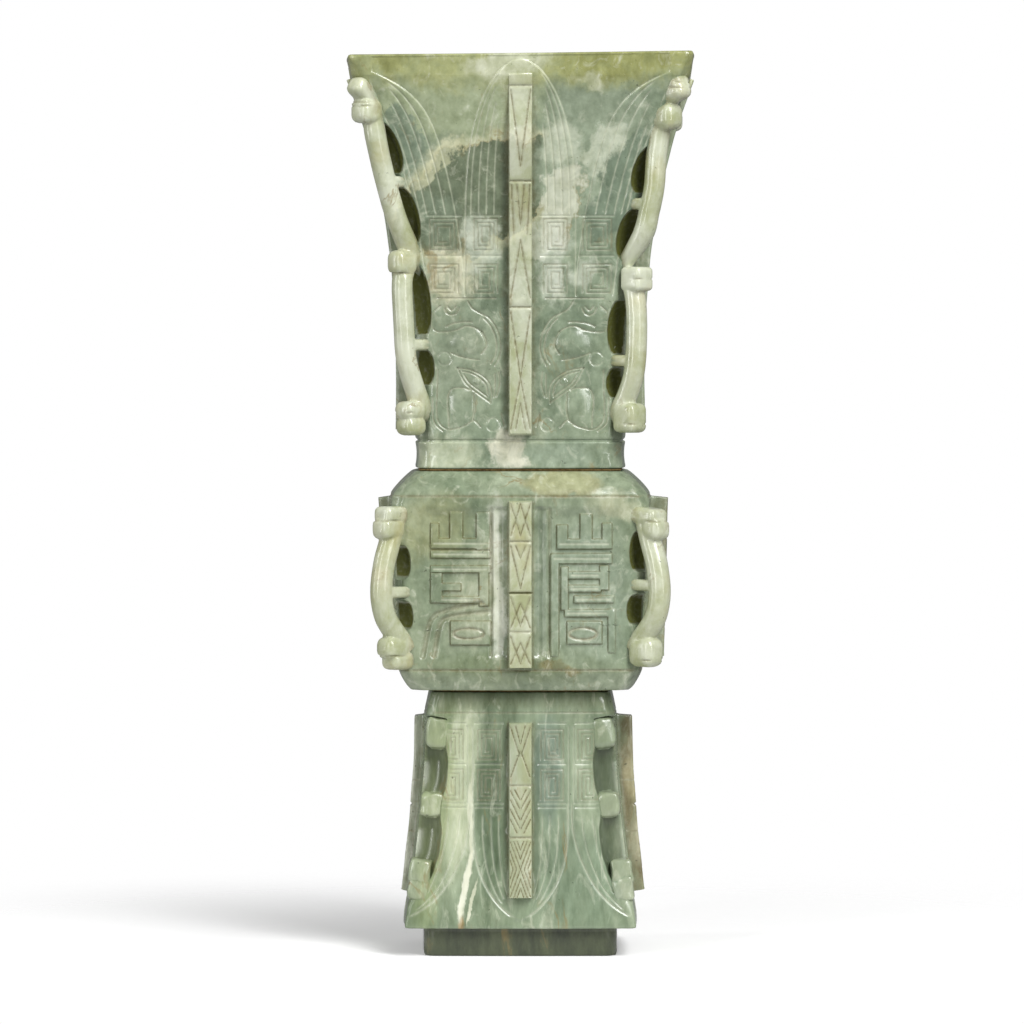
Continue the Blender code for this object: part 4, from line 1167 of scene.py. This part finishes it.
def nephrite(name, ground, shade, bloom, grain, drift_mm, cloud_and_light_patches):
    """Polished nephrite. The eye gets clouded grey-green stone, paler where it is thin, with brown veins,
    dark specks, whitish engraved lines, old dirt in the cuts, painted shade in the bays, on the plinth and
    at the loop roots, a few painted highlights and shades, and a waxy gloss."""
    material = bpy.data.materials.new(name)
    material.use_nodes = True
    tree = material.node_tree
    shader = tree.nodes["Principled BSDF"]
    place = node(tree, "TexCoord", out="Object")
    drawn = node(tree, "Mapping", {"Scale": grain}, {"Vector": place})

    # Ground of the stone: broad clouds from dark to mid green, and whitish bloom
    broad = node(tree, "TexNoise", {"Scale": per(26.0), "Detail": 7.0, "Roughness": 0.6,
                 "Distortion": 0.6}, {"Vector": drawn})
    depth = node(tree, "MapRange", span(0.36, 0.62), {"Value": broad})
    colour = node(tree, "Mix", {6: linear(shade), 7: linear(ground)}, {0: depth},
                  out=2, data_type="RGBA")
    mist = node(tree, "TexNoise", {"Scale": per(15.0), "Detail": 9.0, "Roughness": 0.68,
                "Distortion": 0.4}, {"Vector": drawn}, noise_dimensions="4D")
    white = node(tree, "MapRange", span(0.53, 0.74, 0.0, 0.75), {"Value": mist})
    colour = node(tree, "Mix", {7: linear(bloom)}, {0: white, 6: colour}, out=2, data_type="RGBA")

    # Clouds that the front shows, with ragged edges, and among them a few painted highlights and painted
    # shades
    drift = node(tree, "TexNoise", {"Scale": per(8.0), "Detail": 6.0, "Roughness": 0.64},
                 {"Vector": drawn}, out="Color")
    centred = node(tree, "VectorMath", {1: (0.5, 0.5, 0.5)}, {0: drift}, operation="SUBTRACT")
    ragged = node(tree, "VectorMath", {1: (drift_mm * MM,) * 3}, {0: centred, 2: place},
                  operation="MULTIPLY_ADD")
    wisp = node(tree, "TexNoise", {"Scale": per(5.5), "Detail": 6.0, "Roughness": 0.62,
                "Distortion": 1.3}, {"Vector": drawn})
    for tint, centre, size, tilt, share, soft, patchy in cloud_and_light_patches:
        local = node(tree, "Mapping", {"Location": Vector(centre) * MM, "Scale": Vector(size) * MM,
                     "Rotation": (0.0, -math.radians(tilt), 0.0)}, {"Vector": ragged}, vector_type="TEXTURE")
        reach = node(tree, "VectorMath", None, {0: local}, out="Value", operation="LENGTH")
        cover = node(tree, "MapRange", span(1.0 + soft, 1.0 - soft, 0.0, share), {"Value": reach},
                     interpolation_type="SMOOTHSTEP")
        if patchy:
            broken = node(tree, "MapRange", span(0.42, 0.58, 1.0 - patchy), {"Value": wisp})
            cover = node(tree, "Math", None, {0: cover, 1: broken}, operation="MULTIPLY")
        colour = node(tree, "Mix", {7: linear(tint)}, {0: cover, 6: colour}, out=2, data_type="RGBA")

    # Cotton-like wisps and fine mottling, and where brown veins and dark specks lie
    cotton = node(tree, "MapRange", span(0.56, 0.72, 0.0, 0.52), {"Value": wisp})
    colour = node(tree, "Mix", {7: linear("#c8ccb6")}, {0: cotton, 6: colour}, out=2, data_type="RGBA")
    mottle = node(tree, "TexNoise", {"Scale": per(3.4), "Detail": 5.0, "Roughness": 0.6},
                  {"Vector": drawn})
    colour = node(tree, "Mix", {0: 0.9}, {6: colour, 7: mottle}, out=2, data_type="RGBA",
                  blend_type="SOFT_LIGHT")
    crack = node(tree, "TexNoise", {"Scale": per(34.0), "Detail": 6.0, "Roughness": 0.55,
                 "Distortion": 1.0, "W": 3.0}, {"Vector": drawn}, noise_dimensions="4D")
    offset = node(tree, "Math", {1: 0.5}, {0: crack}, operation="SUBTRACT")
    offset = node(tree, "Math", None, {0: offset}, operation="ABSOLUTE")
    line = node(tree, "MapRange", span(0.010, 0.002), {"Value": offset})
    where = node(tree, "MapRange", span(0.52, 0.62, 0.0, 0.6), {"Value": mist})
    vein = node(tree, "Math", None, {0: line, 1: where}, operation="MULTIPLY")
    cells = node(tree, "TexVoronoi", {"Scale": per(3.6)}, {"Vector": ragged}, out="Distance")
    dot = node(tree, "MapRange", span(0.11, 0.05), {"Value": cells})
    few = node(tree, "MapRange", span(0.60, 0.64, 0.0, 0.8), {"Value": cells.node.outputs["Color"]})
    speck = node(tree, "Math", None, {0: dot, 1: few}, operation="MULTIPLY")

    # Thin stone lets light through, negative thin is painted shade, engraved lines are dusty, cuts hold dirt
    thin = node(tree, "Attribute", out="Fac", attribute_name="thin")
    # Painted shade: dark stone colour where the thin value is negative
    painted_shade_share = node(tree, "MapRange", span(0.0, -1.0), {"Value": thin})
    honey = node(tree, "MapRange", span(0.4, 0.6), {"Value": mist})
    shadowed = node(tree, "Mix", {6: linear("#1e2613"), 7: linear("#4f563a")}, {0: honey},
                    out=2, data_type="RGBA")
    colour = node(tree, "Mix", None, {0: painted_shade_share, 6: colour, 7: shadowed}, out=2, data_type="RGBA")
    thin = node(tree, "Math", {1: 0.72}, {0: thin}, operation="MULTIPLY", use_clamp=True)
    pale = node(tree, "Mix", {6: linear("#b2b689"), 7: linear("#e0e3cc")}, {0: honey},
                out=2, data_type="RGBA")
    colour = node(tree, "Mix", None, {0: thin, 6: colour, 7: pale}, out=2, data_type="RGBA")
    stain = node(tree, "MapRange", span(0.52, 0.64, 0.0, 0.45), {"Value": broad})
    stain = node(tree, "Math", None, {0: stain, 1: thin}, operation="MULTIPLY")
    incised = node(tree, "Attribute", out="Fac", attribute_name="incised")
    dusty = node(tree, "MapRange", span(0.35, 0.65, 0.4, 0.8), {"Value": mottle})
    dusty = node(tree, "Math", None, {0: incised, 1: dusty}, operation="MULTIPLY")
    grit = node(tree, "TexNoise", {"Scale": per(1.6), "Detail": 4.0, "Roughness": 0.6},
                {"Vector": place})
    grit = node(tree, "MapRange", span(0.3, 0.6, 0.25), {"Value": grit})
    soil = node(tree, "Attribute", out="Fac", attribute_name="soil")
    dirt_and_shade = node(tree, "Math", None, {0: soil, 1: grit}, operation="MULTIPLY")
    # Heavy soil turns dark olive: dirt in the deepest cuts, and painted shade on the bays behind the loops
    deep_dirt_and_shade = node(tree, "MapRange", span(0.55, 0.85, 0.0, 0.97), {"Value": soil})
    layers = (("#ab9c62", stain), ("#84703f", vein), ("#3f4433", speck), ("#ccd0b8", dusty),
              ("#5f4f24", dirt_and_shade), ("#565a2c", deep_dirt_and_shade))
    for tint, share in layers:
        colour = node(tree, "Mix", {7: linear(tint)}, {0: share, 6: colour}, out=2, data_type="RGBA")

    # Waxy polish, duller where dirt and painted shade lie, with the faint unevenness of hand polishing
    gloss = node(tree, "MapRange", span(0.3, 0.7, 0.15, 0.28), {"Value": mottle})
    dull = node(tree, "Math", {1: 0.35}, {0: dirt_and_shade, 2: gloss}, operation="MULTIPLY_ADD")
    wet = node(tree, "MapRange", span(0.0, 0.7, 0.5, 0.05), {"Value": dirt_and_shade})
    ripple = node(tree, "TexNoise", {"Scale": per(1.1), "Detail": 3.0}, {"Vector": place})
    bump = node(tree, "Bump", {"Strength": 0.10, "Distance": 0.12 * MM}, {"Height": ripple})
    for socket, output in (("Base Color", colour), ("Roughness", dull), ("Specular IOR Level", wet),
                           ("Normal", bump)):
        tree.links.new(output, shader.inputs[socket])
    shader.inputs["IOR"].default_value = 1.61
    shader.inputs["Subsurface Weight"].default_value = 0.1
    shader.inputs["Subsurface Radius"].default_value = (1.0, 1.0, 0.7)
    shader.inputs["Subsurface Scale"].default_value = 1.6 * MM
    return material


def lime_cement():
    """Old jointing cement, stained brown. The eye gets a dull, grainy dark line between the blocks."""
    material = bpy.data.materials.new("stained_cement")
    material.use_nodes = True
    tree = material.node_tree
    shader = tree.nodes["Principled BSDF"]
    place = node(tree, "TexCoord", out="Object")
    grain = node(tree, "TexNoise", {"Scale": per(1.2), "Detail": 5.0, "Roughness": 0.65},
                 {"Vector": place})
    share = node(tree, "MapRange", span(0.35, 0.65), {"Value": grain})
    colour = node(tree, "Mix", {6: linear("#6b5127"), 7: linear("#9a8050")}, {0: share},
                  out=2, data_type="RGBA")
    bump = node(tree, "Bump", {"Strength": 0.4, "Distance": 0.15 * MM}, {"Height": grain})
    tree.links.new(colour, shader.inputs["Base Color"])
    tree.links.new(bump, shader.inputs["Normal"])
    shader.inputs["Roughness"].default_value = 0.85
    return material


# Stage, light and camera

CAMERA_DISTANCE = 2000.0
CAMERA_HEIGHT = 206.5
CAMERA_SIDE = -2.8
LENS = 209.1
TILT = 1.70
FLOOR_NEAR = 0.05
FLOOR_FAR = 0.31


def softbox(name, place, width, height, power):
    data = bpy.data.lights.new(name, "AREA")
    data.shape = "RECTANGLE"
    data.size = width
    data.size_y = height
    data.energy = power
    lamp = bpy.data.objects.new(name, data)
    lamp.location = place
    lamp.rotation_euler = (Vector((0.0, 0.0, 0.16)) - Vector(place)).to_track_quat("-Z", "Y").to_euler()
    bpy.context.scene.collection.objects.link(lamp)


def white_paper():
    """White paper under the vase. The eye gets plain white that runs out into the background."""
    material = bpy.data.materials.new("white_paper")
    material.use_nodes = True
    tree = material.node_tree
    tree.nodes.clear()
    place = node(tree, "TexCoord", out="Object")
    away = node(tree, "VectorMath", None, {0: place}, out="Value", operation="LENGTH")
    fade = node(tree, "MapRange", span(FLOOR_NEAR, FLOOR_FAR), {"Value": away},
                interpolation_type="SMOOTHSTEP")
    ray = node(tree, "LightPath", out="Is Camera Ray")
    paper = node(tree, "BsdfDiffuse", {"Color": linear("#fcfcfc")})
    glow = node(tree, "Emission", {"Color": linear("#808080")}, {"Strength": ray})
    lit = node(tree, "AddShader", None, {0: paper, 1: glow})
    clear = node(tree, "BsdfTransparent")
    both = node(tree, "MixShader", None, {0: fade, 1: lit, 2: clear})
    node(tree, "OutputMaterial", None, {"Surface": both})
    return material


def stage():
    bpy.ops.object.select_all(action="DESELECT")
    bpy.ops.mesh.primitive_circle_add(vertices=96, radius=FLOOR_FAR, fill_type="NGON")
    floor = bpy.context.active_object
    floor.name = "floor"
    floor.data.materials.append(white_paper())

    softbox("key", (0.63, -1.14, 1.25), 0.5, 1.1, 28.0)
    softbox("fill", (-0.89, -1.27, 0.57), 0.16, 1.2, 7.5)
    softbox("edge", (-1.15, -0.25, 0.4), 0.12, 0.9, 3.0)
    softbox("strip", (0.85, -1.30, 0.40), 0.10, 0.8, 3.4)
    world = bpy.data.worlds.new("studio")
    world.use_nodes = True
    tree = world.node_tree
    tree.nodes.clear()
    ray = node(tree, "LightPath", out="Is Camera Ray")
    room = node(tree, "Background", {"Color": linear("#ffffff"), "Strength": 0.20})
    white = node(tree, "Background", {"Color": linear("#ffffff")})
    both = node(tree, "MixShader", None, {0: ray, 1: room, 2: white})
    node(tree, "OutputWorld", None, {"Surface": both})
    bpy.context.scene.world = world

    lens = bpy.data.cameras.new("camera")
    lens.lens = LENS
    lens.sensor_width = 36.0
    camera = bpy.data.objects.new("camera", lens)
    camera.location = (CAMERA_SIDE * MM, -CAMERA_DISTANCE * MM, CAMERA_HEIGHT * MM)
    camera.rotation_euler = (math.radians(90.0 - TILT), 0.0, 0.0)
    bpy.context.scene.collection.objects.link(camera)
    bpy.context.scene.camera = camera
    bpy.context.scene.view_settings.view_transform = "Standard"


def main():
    stage()
    upper = nephrite("polished_nephrite_upper", "#8e9b82", "#72816a", "#b4bca2", (1.0, 1.0, 0.8), 18.0,
                     TRUMPET_CLOUDS)
    middle = nephrite("polished_nephrite_middle", "#939e83", "#76846a", "#b3bba2", (1.0, 1.0, 0.7), 12.0,
                      KNOP_CLOUDS_AND_PAINTED_LIGHT)
    lower = nephrite("polished_nephrite_lower", "#88967c", "#66755b", "#b0b99e", (1.0, 1.0, 0.3), 7.0,
                     FOOT_CLOUDS_AND_PAINTED_LIGHT)
    trumpet_loops = [trumpet_loop(corner) for corner in CORNERS]
    trumpet = carved_block("trumpet_carved", trumpet_rows(), trumpet_flange, trumpet_ornament,
                           trumpet_loops, True, upper, 0.95, 0.85)
    knop_loops = [knop_loop(corner) for corner in CORNERS]
    knop = carved_block("knop_carved", knop_rows(), knop_flange, knop_ornament,
                        knop_loops, False, middle, 0.85, 1.0)
    stubs = [foot_stub(corner, *stub) for corner in CORNERS for stub in FOOT_STUBS]
    # The foot's bays get painted shade alone, the other blocks dirt and painted shade in theirs
    foot = carved_block("foot_carved", foot_rows(), foot_flange, foot_ornament,
                        stubs, False, lower, -0.55, 0.6)
    for piece, replaced in ((trumpet, "trumpet_section"), (knop, "knop_section"), (foot, "foot_section")):
        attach(piece, "root")
        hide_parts(replaced)
    cement = lime_cement()
    for bed in ("upper_joint_cement", "lower_joint_cement"):
        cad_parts[bed].material_slots[0].material = cement


main()
